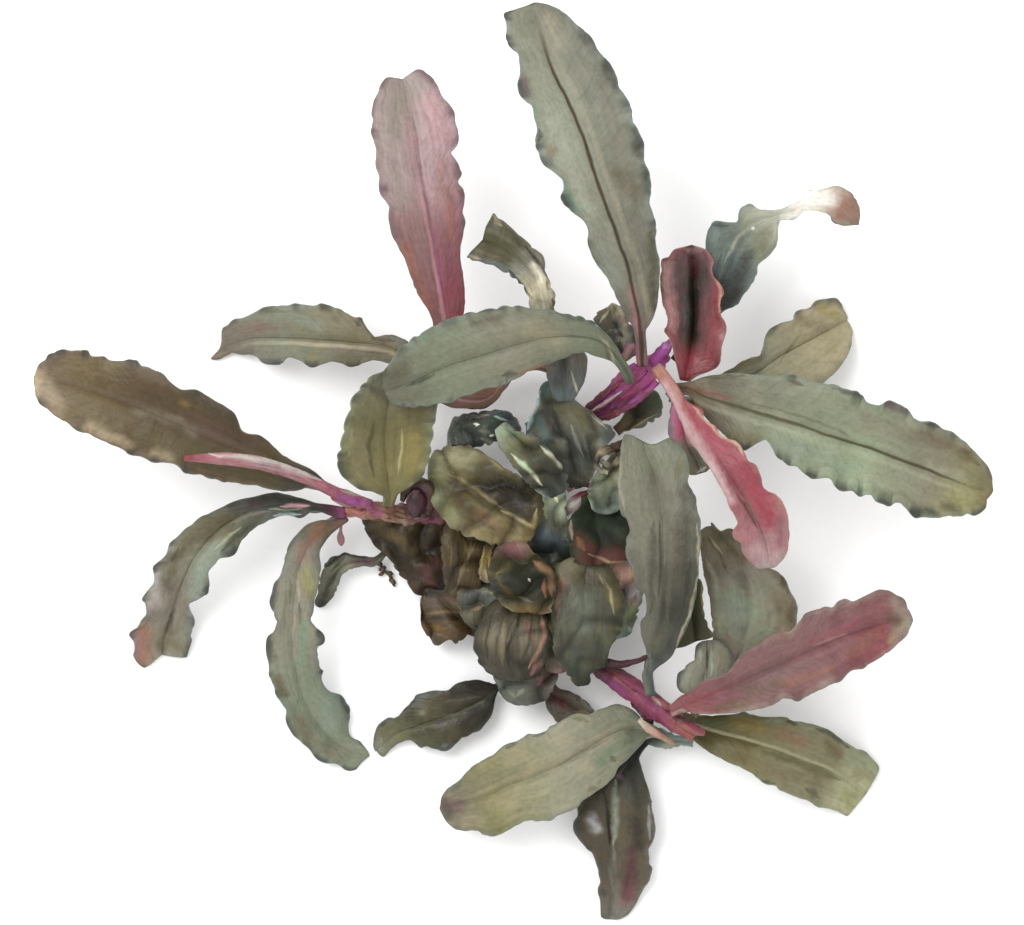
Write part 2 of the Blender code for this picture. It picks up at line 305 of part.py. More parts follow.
# The old curled leaves of the middle, from the back of the clump to its front.
OLD_LEAVES = {
    "leaf_old_upper": {
        "color": "dark", "size": MIDDLE_LEAF, "lift": (-0.8, -0.8), "ruffle": 0.2,
        "mid": [(5.1, 9.2, 11.4), (5.8, 6.5, 12.4), (6.6, 3, 12.6), (7.6, 0.2, 11.6), (8.8, -2.6, 9.8)],
        "left": [(6.4, 8.4), (8.8, 6.9), (11.9, 4.4), (11.6, 1.4), (10.2, -1.8)],
        "right": [(3.5, 9.4), (2.7, 6.8), (1.8, 3.9), (4.4, 0), (7.6, -3.0)],
    },
    "leaf_old_strip": {
        "color": "olive", "size": SMALL_LEAF, "lift": (-0.8, -0.4), "ruffle": 0.1,
        "mid": [(-2.4, 4.2, 14.6), (-0.6, 2.2, 15.8), (1.4, -0.2, 16.4), (3.6, -3.0, 15.6), (5.2, -5.0, 14.6)],
        "left": [(-1.5, 4.9), (1.6, 3.4), (4.2, 0.8), (6.6, -1.4), (6.8, -3.6)],
        "right": [(-4.2, 3.0), (-2.4, 0.8), (-1.2, -1.0), (1.6, -3.4), (4.0, -5.6)],
    },
    "leaf_old_folded": {
        "color": "olive", "size": MIDDLE_LEAF, "lift": (-0.5, -0.9), "ruffle": 0.3,
        "stalk": [(-9.6, -5.4, 7.5)],
        "mid": [(-9.8, -1.0, 10.4), (-8.2, -2.0, 12.0), (-5.5, -3.4, 13.4), (-2, -5.4, 14.0), (1, -7.2, 13.6),
                (3, -8.4, 12.8)],
        "left": [(-9.6, 0.8), (-8.0, 2.0), (-5, 2.0), (-3.4, 0.2), (-1.6, -1.0), (0.4, -1.9), (2.4, -3.2), (3.4, -6.2)],
        "right": [(-10.2, -2.4), (-9.8, -5), (-8, -7.7), (-5.2, -9.2), (-2.4, -9.0), (0.4, -9.3), (2.3, -9.2)],
    },
    "leaf_old_glossy": {
        "color": "dark", "size": SMALL_LEAF, "lift": (-1.2, -0.9), "ruffle": 0.1,
        "stalk": [(-5.2, -5.4, 5.6), (-7, -0.6, 7.4)],
        "mid": [(-7.8, 3.2, 9.4), (-6.0, 4.6, 11.2), (-3.2, 5.2, 12.0), (-0.7, 4.7, 11.2), (1.0, 3.6, 9.4)],
        "left": [(-8.0, 4.4), (-6.2, 5.9), (-3.2, 6.5), (-0.2, 6.0), (1.4, 4.2)],
        "right": [(-7.6, 2.0), (-5.6, 1.8), (-3.4, 2.0), (-1.6, 2.6), (0.3, 2.4)],
    },
    "leaf_old_bluish": {
        "color": "dark", "size": SMALL_LEAF, "lift": (-0.5, -0.5), "ruffle": 0.1,
        "stalk": [(4.6, 1.4, 7.6)],
        "mid": [(4.2, -1.6, 9.2), (4.7, -4.4, 10.4), (4.9, -8, 10.8), (4.9, -11, 10.0), (4.6, -13, 8.8)],
        "left": [(6.0, -2.0), (6.3, -4.6), (6.2, -8), (6.9, -11), (6.4, -13)],
        "right": [(2.2, -2.4), (2.4, -5.2), (2.4, -8.4), (2.4, -11), (2.8, -12.9)],
    },
    "leaf_old_red_edged": {
        "color": "dark", "size": SMALL_LEAF, "lift": (0.3, 0.2), "ruffle": 0.1,
        "mid": [(9.4, -5.2, 10.8), (9.8, -7.2, 11.8), (10.4, -9.8, 12.6), (11.4, -12.8, 13.0)],
        "left": [(10.2, -5.0), (12.8, -5.8), (14.8, -8.2), (14.3, -12.6)],
        "right": [(8.6, -5.4), (6.7, -6.8), (6.6, -9.6), (8.0, -12.9)],
    },
    "leaf_old_grey": {
        "color": "grey_green", "size": SMALL_LEAF, "lift": (0.1, 0.1), "ruffle": 0.1,
        "mid": [(12.9, 0.8, 13.4), (12.1, -1.6, 14.0), (11.7, -4.0, 14.2), (11.5, -6.2, 13.8)],
        "left": [(13.5, 0.9), (13.7, -1.6), (13.5, -4.2), (12.9, -6.2)],
        "right": [(12.3, 0.7), (10.5, -1.8), (9.9, -4), (10.2, -6.0)],
    },
    "leaf_old_hanging": {
        "color": "dark", "size": MIDDLE_LEAF, "lift": (-0.3, -0.8), "ruffle": 0.2,
        "mid": [(-13.6, -8.5, 4.4), (-12.8, -11, 4.6), (-11.4, -14, 3.8), (-10.1, -16.4, 2.6)],
        "left": [(-10.2, -9.0), (-8.4, -11.2), (-8.0, -14), (-8.5, -16.4)],
        "right": [(-18.4, -8.4), (-17.4, -10.6), (-14.3, -13.7), (-11.4, -17.0)],
    },
    "leaf_old_veined": {
        "color": "olive", "size": SMALL_LEAF, "lift": (-0.3, -0.2), "ruffle": 0.2,
        "stalk": [(-6.4, -7, 6.6)],
        "mid": [(-6.2, -8.6, 8.6), (-6.2, -11, 9.0), (-6.4, -13.6, 8.6), (-6.8, -16.4, 7.8)],
        "left": [(-4.2, -9.0), (-4.2, -11.2), (-4.9, -13.8), (-5.8, -16.2)],
        "right": [(-8.2, -8.4), (-8.3, -11), (-8.2, -13.6), (-7.9, -16.2)],
    },
    "leaf_old_yellow": {
        "color": "olive", "size": SMALL_LEAF, "lift": (0.2, 0.2), "ruffle": 0.0,
        "stalk": [(-2.8, -9.2, 6.6)],
        "mid": [(-2.9, -10.8, 9.0), (-3.0, -12.2, 9.6), (-3.2, -13.8, 9.6), (-3.5, -15.4, 9.0)],
        "left": [(-2.2, -10.8), (-2.0, -12.2), (-2.2, -13.8), (-2.8, -15.2)],
        "right": [(-3.6, -10.8), (-4.0, -12.2), (-4.1, -13.8), (-4.0, -15.4)],
    },
    "leaf_old_blue": {
        "color": "dark", "size": SMALL_LEAF, "lift": (0.1, 0.1), "ruffle": 0.0,
        "stalk": [(-2.8, -12, 5.8)],
        "mid": [(-3.8, -14.4, 5.4), (-4.4, -16.4, 6.0), (-4.8, -18.4, 6.6), (-4.6, -20.4, 6.6)],
        "left": [(-2.4, -14.6), (-2.8, -16.4), (-3.2, -18.4), (-3.8, -20.2)],
        "right": [(-5.0, -14.4), (-6.0, -16.4), (-6.0, -18.2), (-5.3, -20.4)],
    },
    "leaf_old_centre": {
        "color": "dark", "size": MIDDLE_LEAF, "lift": (-0.6, -0.4), "ruffle": 0.1,
        "mid": [(0.0, -10.2, 12.8), (0.6, -12.4, 14.2), (1.2, -15.4, 15.2), (2.0, -19.0, 14.6)],
        "left": [(1.0, -10.2), (2.2, -12.6), (4.2, -13.9), (4.6, -16.4), (4.1, -19.6)],
        "right": [(-1.2, -10.3), (-1.8, -12.6), (-2.4, -15.2), (-0.2, -17.8), (0.9, -19.2)],
    },
    "leaf_old_between": {
        "color": "olive", "size": SMALL_LEAF, "lift": (-0.2, -0.2), "ruffle": 0.0,
        "stalk": [(4.6, -13.2, 6.4)],
        "mid": [(5.0, -15.0, 8.6), (5.0, -18.6, 9.2), (5.2, -22.2, 8.8), (5.4, -25.8, 7.6)],
        "left": [(6.4, -15.0), (6.4, -18.6), (6.6, -22.2), (6.6, -25.8)],
        "right": [(4.2, -15.0), (4.2, -18.6), (4.4, -22.2), (4.4, -25.8)],
    },
    "leaf_old_mauve": {
        "color": "pink", "size": SMALL_LEAF, "lift": (0.1, 0.1), "ruffle": 0.1,
        "mid": [(13.6, -12.8, 9.2), (14.0, -15.4, 9.8), (14.1, -18.4, 9.8), (13.8, -21.6, 9.0)],
        "left": [(15.0, -12.8), (16.0, -15.8), (15.3, -18.6), (14.7, -21.6)],
        "right": [(12.2, -12.8), (12.4, -15.8), (12.8, -18.6), (12.5, -22.6)],
    },
    "leaf_old_brown": {
        "color": "brown", "size": SMALL_LEAF, "lift": (-0.6, 0.8), "ruffle": 0.2,
        "stalk": [(0.6, -17.4, 3.4), (-1.8, -18.8, 3.6)],
        "mid": [(-4.4, -19.6, 3.8), (-6.6, -19.7, 4.2), (-9, -19.9, 4.0), (-11.6, -20.2, 3.0)],
        "left": [(-4.4, -22.3), (-6.2, -22.6), (-8.4, -22.9), (-10.9, -22.9)],
        "right": [(-5.0, -17.4), (-6.8, -16.8), (-9, -16.9), (-12.1, -17.8)],
    },
    "leaf_old_round": {
        "color": "brown", "size": MIDDLE_LEAF, "lift": (-1.8, -2.0), "ruffle": 0.1,
        "stalk": [(1.8, -14.6, 6.8)],
        "mid": [(0.4, -17.0, 9.8), (0, -18.8, 11.4), (-0.2, -21.5, 12.6), (0, -24.6, 11.6), (1.0, -27.1, 9.4)],
        "left": [(2.4, -17.0), (3.6, -18.8), (4.0, -21.6), (3.7, -24.4), (3.0, -26.9)],
        "right": [(-1.7, -17.4), (-3.7, -19.2), (-4.5, -22), (-4.3, -24.8), (-1.8, -27.6)],
    },
    "leaf_old_orange_edged": {
        "color": "grey_green", "size": MIDDLE_LEAF, "lift": (-0.6, -0.2), "ruffle": 0.2,
        "mid": [(9.2, -13.4, 11.4), (9, -16, 12.4), (8.7, -19.5, 12.8), (8.4, -23, 11.4), (8.2, -27.6, 8.6)],
        "left": [(12.2, -13.6), (13.2, -16.0), (13.8, -18.8), (12.8, -22.0), (11.4, -24.2), (8.8, -28.2)],
        "right": [(6.4, -13.4), (5.5, -15.6), (5.2, -18.8), (5.8, -21), (5.8, -23.6), (5.6, -26.2), (7.8, -28.0)],
    },
    "leaf_old_lowest": {
        "color": "grey_green", "size": SMALL_LEAF, "lift": (-0.6, -0.2), "ruffle": 0.1,
        "stalk": [(6, -24.2, 5.6)],
        "mid": [(4.4, -26.4, 5.8), (2.8, -27.8, 6.0), (0.6, -28.7, 5.8), (-1.6, -28.2, 5.2)],
        "left": [(5.0, -27.4), (3.8, -29.8), (1.2, -30.3), (-1.2, -29.4)],
        "right": [(3.8, -25.8), (2.2, -26.4), (0.2, -27.1), (-2.0, -27.3)],
    },
    "leaf_old_under": {
        "color": "dark", "size": SMALL_LEAF, "lift": (0.1, 0.1), "ruffle": 0.1,
        "stalk": [(10.2, 2.6, 3.4)],
        "mid": [(13.0, 3.8, 5.0), (14.8, 5.2, 5.8), (16.8, 6.8, 6.2), (18.4, 8.0, 6.2)],
        "left": [(12.4, 4.8), (13.8, 6.8), (16.0, 8.6), (18.2, 9.0)],
        "right": [(13.6, 3.1), (16.0, 3.8), (18.4, 5.8), (18.9, 7.2)],
    },
}

# Round pieces: (x, y, height of the middle, radius) along each.
STEMS = {
    "rhizome_middle": ("magenta", [(-6.6, -7.6, 3.2, 1.9), (-3, -9.6, 2.3, 2.5), (1.5, -12.6, 2.2, 2.7),
                                   (5, -17, 2.2, 2.7), (7.4, -21.2, 2.8, 2.2)]),
    "rhizome_left": ("magenta", [(-8.8, -6.6, 4.4, 1.8), (-13, -6.2, 5.8, 1.8), (-17.5, -6.1, 7.2, 1.7),
                                 (-21.0, -6.1, 8.2, 0.8)]),
    "rhizome_upper": ("magenta", [(1.7, -8.0, 3.4, 1.9), (6, 0, 4.4, 2.0), (9.9, 5.5, 6.8, 1.9),
                                  (13.3, 7.9, 9.0, 2.0), (16.6, 10.6, 11.0, 2.2), (19.2, 14.2, 12.8, 1.0)]),
    "rhizome_lower": ("magenta", [(9.6, -24.4, 4.2, 2.0), (11.8, -26.8, 6.2, 2.2), (16.0, -29.5, 8.0, 1.7),
                                  (20.0, -32.4, 9.2, 1.6), (23.0, -34.9, 9.8, 0.7)]),
    "leaf_left_rolled": ("pink", [(-19.4, -4.9, 10.6, 1.1), (-22, -3.7, 12.5, 1.0), (-26, -1.9, 15.0, 0.95),
                                  (-31, -0.3, 17.4, 0.95), (-36, 0.4, 18.8, 0.8), (-41, 0.5, 19.6, 0.3)]),
    "bud_left": ("magenta", [(-12.6, -5.4, 9.2, 1.6), (-12.4, -4.2, 10.8, 1.4), (-12.2, -3.2, 11.6, 0.6)]),
    "petiole_lower": ("magenta", [(12.4, -25.0, 9.2, 0.7), (14.4, -25.0, 9.8, 0.7), (16.7, -24.3, 10.8, 0.5)]),
    "petiole_middle": ("red", [(9.9, -2.6, 8.0, 0.7), (8.2, -3.8, 8.2, 0.8), (6.6, -5.0, 8.0, 0.5)]),
    "sheath_lower": ("root", [(15.8, -32.2, 10.4, 0.3), (17.2, -33.5, 10.0, 0.5), (20.2, -35.3, 8.6, 0.3)]),
    "withered_curl": ("root", [(13.9, 3.0, 15.6, 0.4), (13.2, 1.6, 15.8, 0.45), (11.8, 0.4, 16.0, 0.5),
                               (10.4, 0.7, 15.8, 0.4), (9.9, -0.5, 15.4, 0.35), (10.7, -1.8, 15.4, 0.3)]),
    "root_left": ("root", [(-14.6, -15.2, 0.5, 0.35), (-15.2, -14.2, 0.6, 0.4), (-16.2, -13.6, 0.7, 0.4),
                           (-17.4, -13.6, 0.5, 0.3)]),
}
CUT_FLAT = ("rhizome_middle",)


def clear_scene():
    for obj in list(bpy.data.objects):
        bpy.data.objects.remove(obj)


def linear(level):
    level /= 255
    return level / 12.92 if level <= 0.04045 else ((level + 0.055) / 1.055) ** 2.4


def make_material(name):
    color, roughness = PALETTE[name]
    material = bpy.data.materials.new(name)
    material.use_nodes = True
    shader = material.node_tree.nodes["Principled BSDF"]
    shader.inputs["Base Color"].default_value = (*map(linear, color), 1)
    shader.inputs["Roughness"].default_value = roughness
    shader.inputs["Metallic"].default_value = 0.0
    return material


def smooth_line(points, count, crowding=1.0):
    # `count` points along a smooth line through the given ones, closer together near its end.
    points = [np.array(point, float) for point in points]
    ends = [2 * points[0] - points[1], *points, 2 * points[-1] - points[-2]]
    dense = [points[0]]
    for before, start, end, after in zip(ends, ends[1:], ends[2:], ends[3:]):
        for t in np.linspace(0, 1, 9)[1:]:
            dense.append(0.5 * (2 * start + (end - before) * t + (2 * before - 5 * start + 4 * end - after) * t**2
                                + (3 * start - before - 3 * end + after) * t**3))
    dense = np.array(dense)
    run = np.concatenate([[0], np.cumsum(np.linalg.norm(np.diff(dense[:, :2], axis=0), axis=1))])
    wanted = run[-1] * (1 - (1 - np.linspace(0, 1, count)) ** crowding)
    return np.stack([np.interp(wanted, run, column) for column in dense.T], axis=1)


def leaf_lines(spec):
    # The midrib and the two edges, led from the rhizome by the leaf's stalk where it has one.
    mid, left, right = (list(spec[line]) for line in ("mid", "left", "right"))
    stalk = spec.get("stalk", [])
    along = Vector(mid[1][:2]) - Vector(mid[0][:2])
    hand = math.copysign(PETIOLE_HALF_WIDTH, along.cross(Vector(left[0]) - Vector(right[0])))
    steps = [*stalk, mid[0]]
    for here, ahead in reversed(list(zip(steps, steps[1:]))):
        along = (Vector(ahead[:2]) - Vector(here[:2])).normalized()
        side = Vector((-along.y, along.x)) * hand
        mid.insert(0, here)
        left.insert(0, tuple(Vector(here[:2]) + side))
        right.insert(0, tuple(Vector(here[:2]) - side))
    return mid, left, right


def add_object(name, mesh, color, parent, base):
    for polygon in mesh.polygons:
        polygon.use_smooth = True
    obj = bpy.data.objects.new(name, mesh)
    obj.location = Vector(base) * MM
    obj.parent = parent
    obj.data.materials.append(bpy.data.materials[color])
    bpy.data.collections["Bucephalandra"].objects.link(obj)
    return obj


def add_leaf(name, spec, parent):
    size = spec.get("size", BIG_LEAF)
    rows, columns = size["rows"], size["columns"]
    mid, left, right = (smooth_line(line, rows, TIP_CROWDING) for line in leaf_lines(spec))
    widths = np.linalg.norm(left - right, axis=1)
    base = mid[0]

    mesh = bpy.data.meshes.new(name)
    bm = bmesh.new()
    weight = bm.verts.layers.deform.verify()
    grid = []
    for i in range(rows):
        u = 1 - (1 - i / (rows - 1)) ** TIP_CROWDING
        spread = widths[i] / widths.max()
        petiole = max(0.0, 1 - u / TAPER_END)
        row = []
        for j in range(columns + 1):
            side = 2 * j / columns - 1
            edge, lift = (left[i], spec["lift"][0]) if side < 0 else (right[i], spec["lift"][1])
            plan = mid[i, :2] + (edge - mid[i, :2]) * abs(side)
            wave = spec["ruffle"] * spread * abs(side) ** 3 * math.sin(2.1 * i + 1.6 * side)
            height = mid[i, 2] + lift * spread * side**2 + wave
            vert = bm.verts.new((Vector((*plan, height)) - Vector(base)) * MM)
            vert[weight][0] = BLADE_THICKNESS / PETIOLE_THICKNESS + petiole * (1 - BLADE_THICKNESS / PETIOLE_THICKNESS)
            row.append(vert)
        grid.append(row)
    for lower, upper in zip(grid, grid[1:]):
        for a, b, c, d in zip(lower, lower[1:], upper[1:], upper):
            bm.faces.new((a, b, c, d))
    bm.to_mesh(mesh)
    bm.free()

    obj = add_object(name, mesh, spec["color"], parent, base)
    obj.vertex_groups.new(name="thickness")
    solidify = obj.modifiers.new("Thickness", "SOLIDIFY")
    solidify.thickness = PETIOLE_THICKNESS * MM
    solidify.offset = 0
    solidify.vertex_group = "thickness"
    return obj


def add_stem(name, color, points, parent):
    steps = max(4, round(sum(math.dist(a[:2], b[:2]) for a, b in zip(points, points[1:])) / TUBE_STEP))
    path = smooth_line(points, steps)
    base = path[0, :3]
    curve = bpy.data.curves.new(name, "CURVE")
    curve.dimensions = "3D"
    curve.bevel_depth = MM
    curve.bevel_resolution = TUBE_SIDES // 4
    curve.use_fill_caps = True
    spline = curve.splines.new("POLY")
    spline.points.add(len(path) - 1)
    for point, (x, y, z, radius) in zip(spline.points, path):
        point.co = (*(Vector((x, y, z)) - Vector(base)) * MM, 1)
        point.radius = radius
    guide = bpy.data.objects.new(name + "_guide", curve)
    bpy.context.scene.collection.objects.link(guide)
    bpy.context.view_layer.update()
    mesh = bpy.data.meshes.new_from_object(guide.evaluated_get(bpy.context.evaluated_depsgraph_get()))
    bpy.data.objects.remove(guide)

    bm = bmesh.new()
    bm.from_mesh(mesh)
    bmesh.ops.remove_doubles(bm, verts=bm.verts, dist=1e-5)
    if name in CUT_FLAT:
        floor = Vector((0, 0, (GROUND - base[2]) * MM))
        cut = bmesh.ops.bisect_plane(bm, geom=bm.verts[:] + bm.edges[:] + bm.faces[:], plane_co=floor,
                                     plane_no=(0, 0, -1), clear_outer=True)
        rim = [item for item in cut["geom_cut"] if isinstance(item, bmesh.types.BMEdge)]
        bmesh.ops.edgeloop_fill(bm, edges=rim)
    bmesh.ops.recalc_face_normals(bm, faces=bm.faces)
    bm.to_mesh(mesh)
    bm.free()
    mesh.name = name
    mesh.materials.clear()
    return add_object(name, mesh, color, parent, base)


def build():
    clear_scene()
    collection = bpy.data.collections.new("Bucephalandra")
    bpy.context.scene.collection.children.link(collection)
    root = bpy.data.objects.new("bucephalandra", None)
    collection.objects.link(root)
    for name in PALETTE:
        make_material(name)
    for name, (color, points) in STEMS.items():
        add_stem(name, color, points, root)
    for crown in (LEFT_SHOOT, UPPER_SHOOT, LOWER_SHOOT, OLD_LEAVES):
        for name, spec in crown.items():
            add_leaf(name, spec, root)


build()
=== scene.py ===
# Bucephalandra, an aquarium plant lying on a pale table, seen from straight above.
# The plan: x runs to the right, y up the picture, z off the table. Lengths in the dictionaries are millimetres,
# and the points in their strings are tenths of a millimetre.
import math

import bpy
import numpy as np
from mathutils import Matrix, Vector


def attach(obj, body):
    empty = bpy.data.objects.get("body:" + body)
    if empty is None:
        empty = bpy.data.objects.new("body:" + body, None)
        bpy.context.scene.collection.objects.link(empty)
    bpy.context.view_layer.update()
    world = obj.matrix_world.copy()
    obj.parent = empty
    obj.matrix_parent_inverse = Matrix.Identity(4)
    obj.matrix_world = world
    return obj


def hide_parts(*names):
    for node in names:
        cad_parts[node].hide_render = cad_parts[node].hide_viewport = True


mm = 0.001
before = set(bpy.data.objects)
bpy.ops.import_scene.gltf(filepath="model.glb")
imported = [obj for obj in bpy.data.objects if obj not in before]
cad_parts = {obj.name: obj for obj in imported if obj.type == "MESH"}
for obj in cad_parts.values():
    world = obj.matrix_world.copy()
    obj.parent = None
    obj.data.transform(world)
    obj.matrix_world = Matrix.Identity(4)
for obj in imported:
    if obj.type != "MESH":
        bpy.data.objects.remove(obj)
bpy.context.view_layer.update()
collection = bpy.context.scene.collection

# How bright a level white surface looks in this light, so that a tone below comes out as it is named.
lightGain = 1.8
tones = {
    "sage": (146, 147, 124), "paleSage": (160, 160, 138), "coolSage": (126, 138, 122),
    "blueSage": (150, 168, 160), "leafGreen": (110, 138, 108), "steel": (98, 110, 104), "slate": (70, 73, 66),
    "ink": (44, 45, 38), "deepGreen": (56, 66, 52), "teal": (62, 86, 82), "olive": (122, 114, 80),
    "yellowOlive": (146, 143, 100), "gold": (152, 132, 62), "deepOlive": (86, 80, 54), "brown": (104, 86, 62),
    "umber": (84, 66, 46), "darkBrown": (62, 48, 38), "taupe": (124, 112, 96), "sand": (166, 152, 124),
    "straw": (182, 170, 138), "cream": (206, 198, 174), "rust": (150, 98, 76), "coral": (184, 122, 108),
    "peach": (204, 156, 138), "rose": (176, 108, 114), "paleRose": (196, 146, 150),
    "dustyPink": (172, 146, 146), "mauveGrey": (156, 146, 138), "wine": (152, 78, 86),
    "crimson": (168, 66, 80), "darkWine": (100, 50, 54), "dusk": (112, 88, 92), "magenta": (156, 76, 118),
    "plum": (104, 62, 78), "purple": (138, 76, 138), "nightBlue": (58, 66, 78), "white": (232, 232, 226),
    "ash": (112, 108, 92), "stone": (134, 130, 110), "moss": (104, 99, 70), "fern": (126, 132, 108),
    "earth": (98, 84, 58), "ochre": (116, 102, 70), "pewter": (90, 91, 82), "flint": (74, 71, 60),
    "clay": (144, 110, 92), "lichen": (142, 154, 126), "mulberry": (138, 84, 92), "rosewood": (138, 100, 102),
    "soot": (54, 51, 38), "night": (36, 40, 34), "snow": (226, 224, 212), "orchid": (164, 72, 158),
    "lilac": (186, 140, 190),
}


def toneOf(name):
    # The tone's linear colour, divided by the light that falls on it.
    levels = [level / 255 for level in tones[name]]
    levels = [level / 12.92 if level <= 0.04045 else ((level + 0.055) / 1.055) ** 2.4 for level in levels]
    return (*(level / lightGain for level in levels), 1.0)


class Wire:
    # One output of a node tree. A sum on it adds a Math node, or Vector Math where a side is a vector.
    def __init__(self, desk, socket):
        self.desk = desk
        self.socket = socket

    def other(self, output):
        return Wire(self.desk, self.socket.node.outputs[output])

    def maths(self, operation, *values):
        flat = [isinstance(value, (int, float)) for value in values]
        wide = [isinstance(value, (tuple, Vector))
                or isinstance(value, Wire) and value.socket.type in ("VECTOR", "RGBA") for value in values]
        if not any(wide):
            return self.desk.node("ShaderNodeMath", {"operation": operation}, dict(enumerate(values)))
        if operation == "MULTIPLY" and not all(wide):
            vector, number = values if wide[0] else values[::-1]
            return self.desk.node("ShaderNodeVectorMath", {"operation": "SCALE"}, {0: vector, "Scale": number})
        if operation == "DIVIDE" and not wide[1]:
            return values[0] * (1.0 / values[1])
        sides = dict(enumerate((value,) * 3 if level else value for value, level in zip(values, flat)))
        return self.desk.node("ShaderNodeVectorMath", {"operation": operation}, sides, "Vector")

    def __add__(self, value):
        return self.maths("ADD", self, value)

    def __radd__(self, value):
        return self.maths("ADD", value, self)

    def __sub__(self, value):
        return self.maths("SUBTRACT", self, value)

    def __rsub__(self, value):
        return self.maths("SUBTRACT", value, self)

    def __mul__(self, value):
        return self.maths("MULTIPLY", self, value)

    def __rmul__(self, value):
        return self.maths("MULTIPLY", value, self)

    def __truediv__(self, value):
        return self.maths("DIVIDE", self, value)

    def __rtruediv__(self, value):
        return self.maths("DIVIDE", value, self)

    def __pow__(self, value):
        return self.maths("POWER", self, value)

    def __abs__(self):
        return self.maths("ABSOLUTE", self)

    def sine(self):
        return self.maths("SINE", self)

    def most(self, value):
        return self.maths("MAXIMUM", self, value)

    def least(self, value):
        return self.maths("MINIMUM", self, value)

    def under(self, value):
        return self.maths("LESS_THAN", self, value)


class Desk:
    # A node tree being wired. node() adds any node: its type, its settings, then its sockets.
    def __init__(self, tree):
        self.tree = tree

    def node(self, kind, settings=None, sockets=None, out=0):
        # "stops" among the settings are a colour ramp's.
        made = self.tree.nodes.new(kind)
        for name, value in (settings or {}).items():
            if name == "stops":
                ramp = made.color_ramp
                while len(ramp.elements) < len(value):
                    ramp.elements.new(0.5)
                for stop, (place, color) in zip(ramp.elements, value):
                    stop.position, stop.color = place, color
            else:
                setattr(made, name, value)
        for name, value in (sockets or {}).items():
            if isinstance(value, Wire):
                self.tree.links.new(value.socket, made.inputs[name])
            elif value is not None:
                made.inputs[name].default_value = value
        return Wire(self, made.outputs[out]) if made.outputs else None

    def band(self, value, low, high):
        # 0 at low, 1 at high, smooth between them.
        settings = {"interpolation_type": "SMOOTHSTEP"}
        return self.node("ShaderNodeMapRange", settings, {0: value, 1: low, 2: high})

    def blend(self, share, below, above):
        return self.node("ShaderNodeMix", {"data_type": "RGBA"}, {0: share, 6: below, 7: above}, 2)

    def ramp(self, stops, place):
        return self.node("ShaderNodeValToRGB", {"stops": stops}, {0: place}, "Color")

    def length(self, vector):
        return self.node("ShaderNodeVectorMath", {"operation": "LENGTH"}, {0: vector}, "Value")

    def dot(self, vector, other):
        return self.node("ShaderNodeVectorMath", {"operation": "DOT_PRODUCT"}, {0: vector, 1: other}, "Value")

    def triple(self, x, y, z):
        return self.node("ShaderNodeCombineXYZ", {}, {0: x, 1: y, 2: z})

    def noise(self, vector, scale, detail=2.0, out="Fac"):
        return self.node("ShaderNodeTexNoise", {}, {"Vector": vector, "Scale": scale, "Detail": detail}, out)


# Making the blades. Each leaf is a thin lens swept along three rails: left edge, midrib, right edge.

stalkHalfWidth = 0.65
tipCrowding = 1.25
railShift = 5.0  # keeps the radius that carries a height or a lobe above zero
lobeReach = 1.7  # half the length over which an edge's general run is taken
rootLength, rootDrop = 1.3, 0.5
weldDistance = 1e-6


def pointsOf(text):
    # "10,20 30,45" is the two points (1, 2) and (3, 4.5), in millimetres.
    return [tuple(float(number) / 10 for number in point.split(",")) for point in text.split()]


def smoothLine(points, count=160):
    # Even steps along a smooth line through the points, measured on the plan.
    points = [np.array(point, float) for point in points]
    ends = [2 * points[0] - points[1], *points, 2 * points[-1] - points[-2]]
    dense = [points[0]]
    for before, start, end, after in zip(ends, ends[1:], ends[2:], ends[3:]):
        for t in np.linspace(0, 1, 9)[1:]:
            dense.append(0.5 * (2 * start + (end - before) * t
                                + (2 * before - 5 * start + 4 * end - after) * t**2
                                + (3 * start - before - 3 * end + after) * t**3))
    dense = np.array(dense)
    run = np.concatenate([[0], np.cumsum(np.linalg.norm(np.diff(dense[:, :2], axis=0), axis=1))])
    return np.stack([np.interp(np.linspace(0, run[-1], count), run, column) for column in dense.T], axis=1)


def lobesOf(edge, mid):
    # The edge with a third column: how far each point stands out from the edge's general run.
    step = np.linalg.norm(edge[-1] - edge[0]) / len(edge)
    half = max(2, round(lobeReach / step))
    padded = np.concatenate([2 * edge[0] - edge[half:0:-1], edge, 2 * edge[-1] - edge[-2:-half - 2:-1]])
    window = np.ones(2 * half + 1) / (2 * half + 1)
    general = np.stack([np.convolve(column, window, "valid") for column in padded.T], axis=1)
    outward = edge - mid[:, :2]
    outward = outward / np.maximum(np.linalg.norm(outward, axis=1, keepdims=True), 1e-6)
    return np.column_stack([edge, ((edge - general) * outward).sum(axis=1)])


def railsOf(leaf):
    # The three rails, led from the rhizome by the leaf's stalk, or by a short root of its own.
    mid, left, right = (pointsOf(leaf[line]) for line in ("mid", "left", "right"))
    along = Vector(mid[1][:2]) - Vector(mid[0][:2])
    hand = math.copysign(stalkHalfWidth, along.cross(Vector(left[0]) - Vector(right[0])))
    back = Vector(mid[0][:2]) - along.normalized() * rootLength
    stalk = pointsOf(leaf["stalk"]) if "stalk" in leaf else [(*back, mid[0][2] - rootDrop)]
    steps = [*stalk, mid[0]]
    for here, ahead in reversed(list(zip(steps, steps[1:]))):
        along = (Vector(ahead[:2]) - Vector(here[:2])).normalized()
        side = Vector((-along.y, along.x)) * hand
        mid.insert(0, here)
        left.insert(0, tuple(Vector(here[:2]) + side))
        right.insert(0, tuple(Vector(here[:2]) - side))
    mid = smoothLine(mid)
    return lobesOf(smoothLine(left), mid), mid, lobesOf(smoothLine(right), mid)


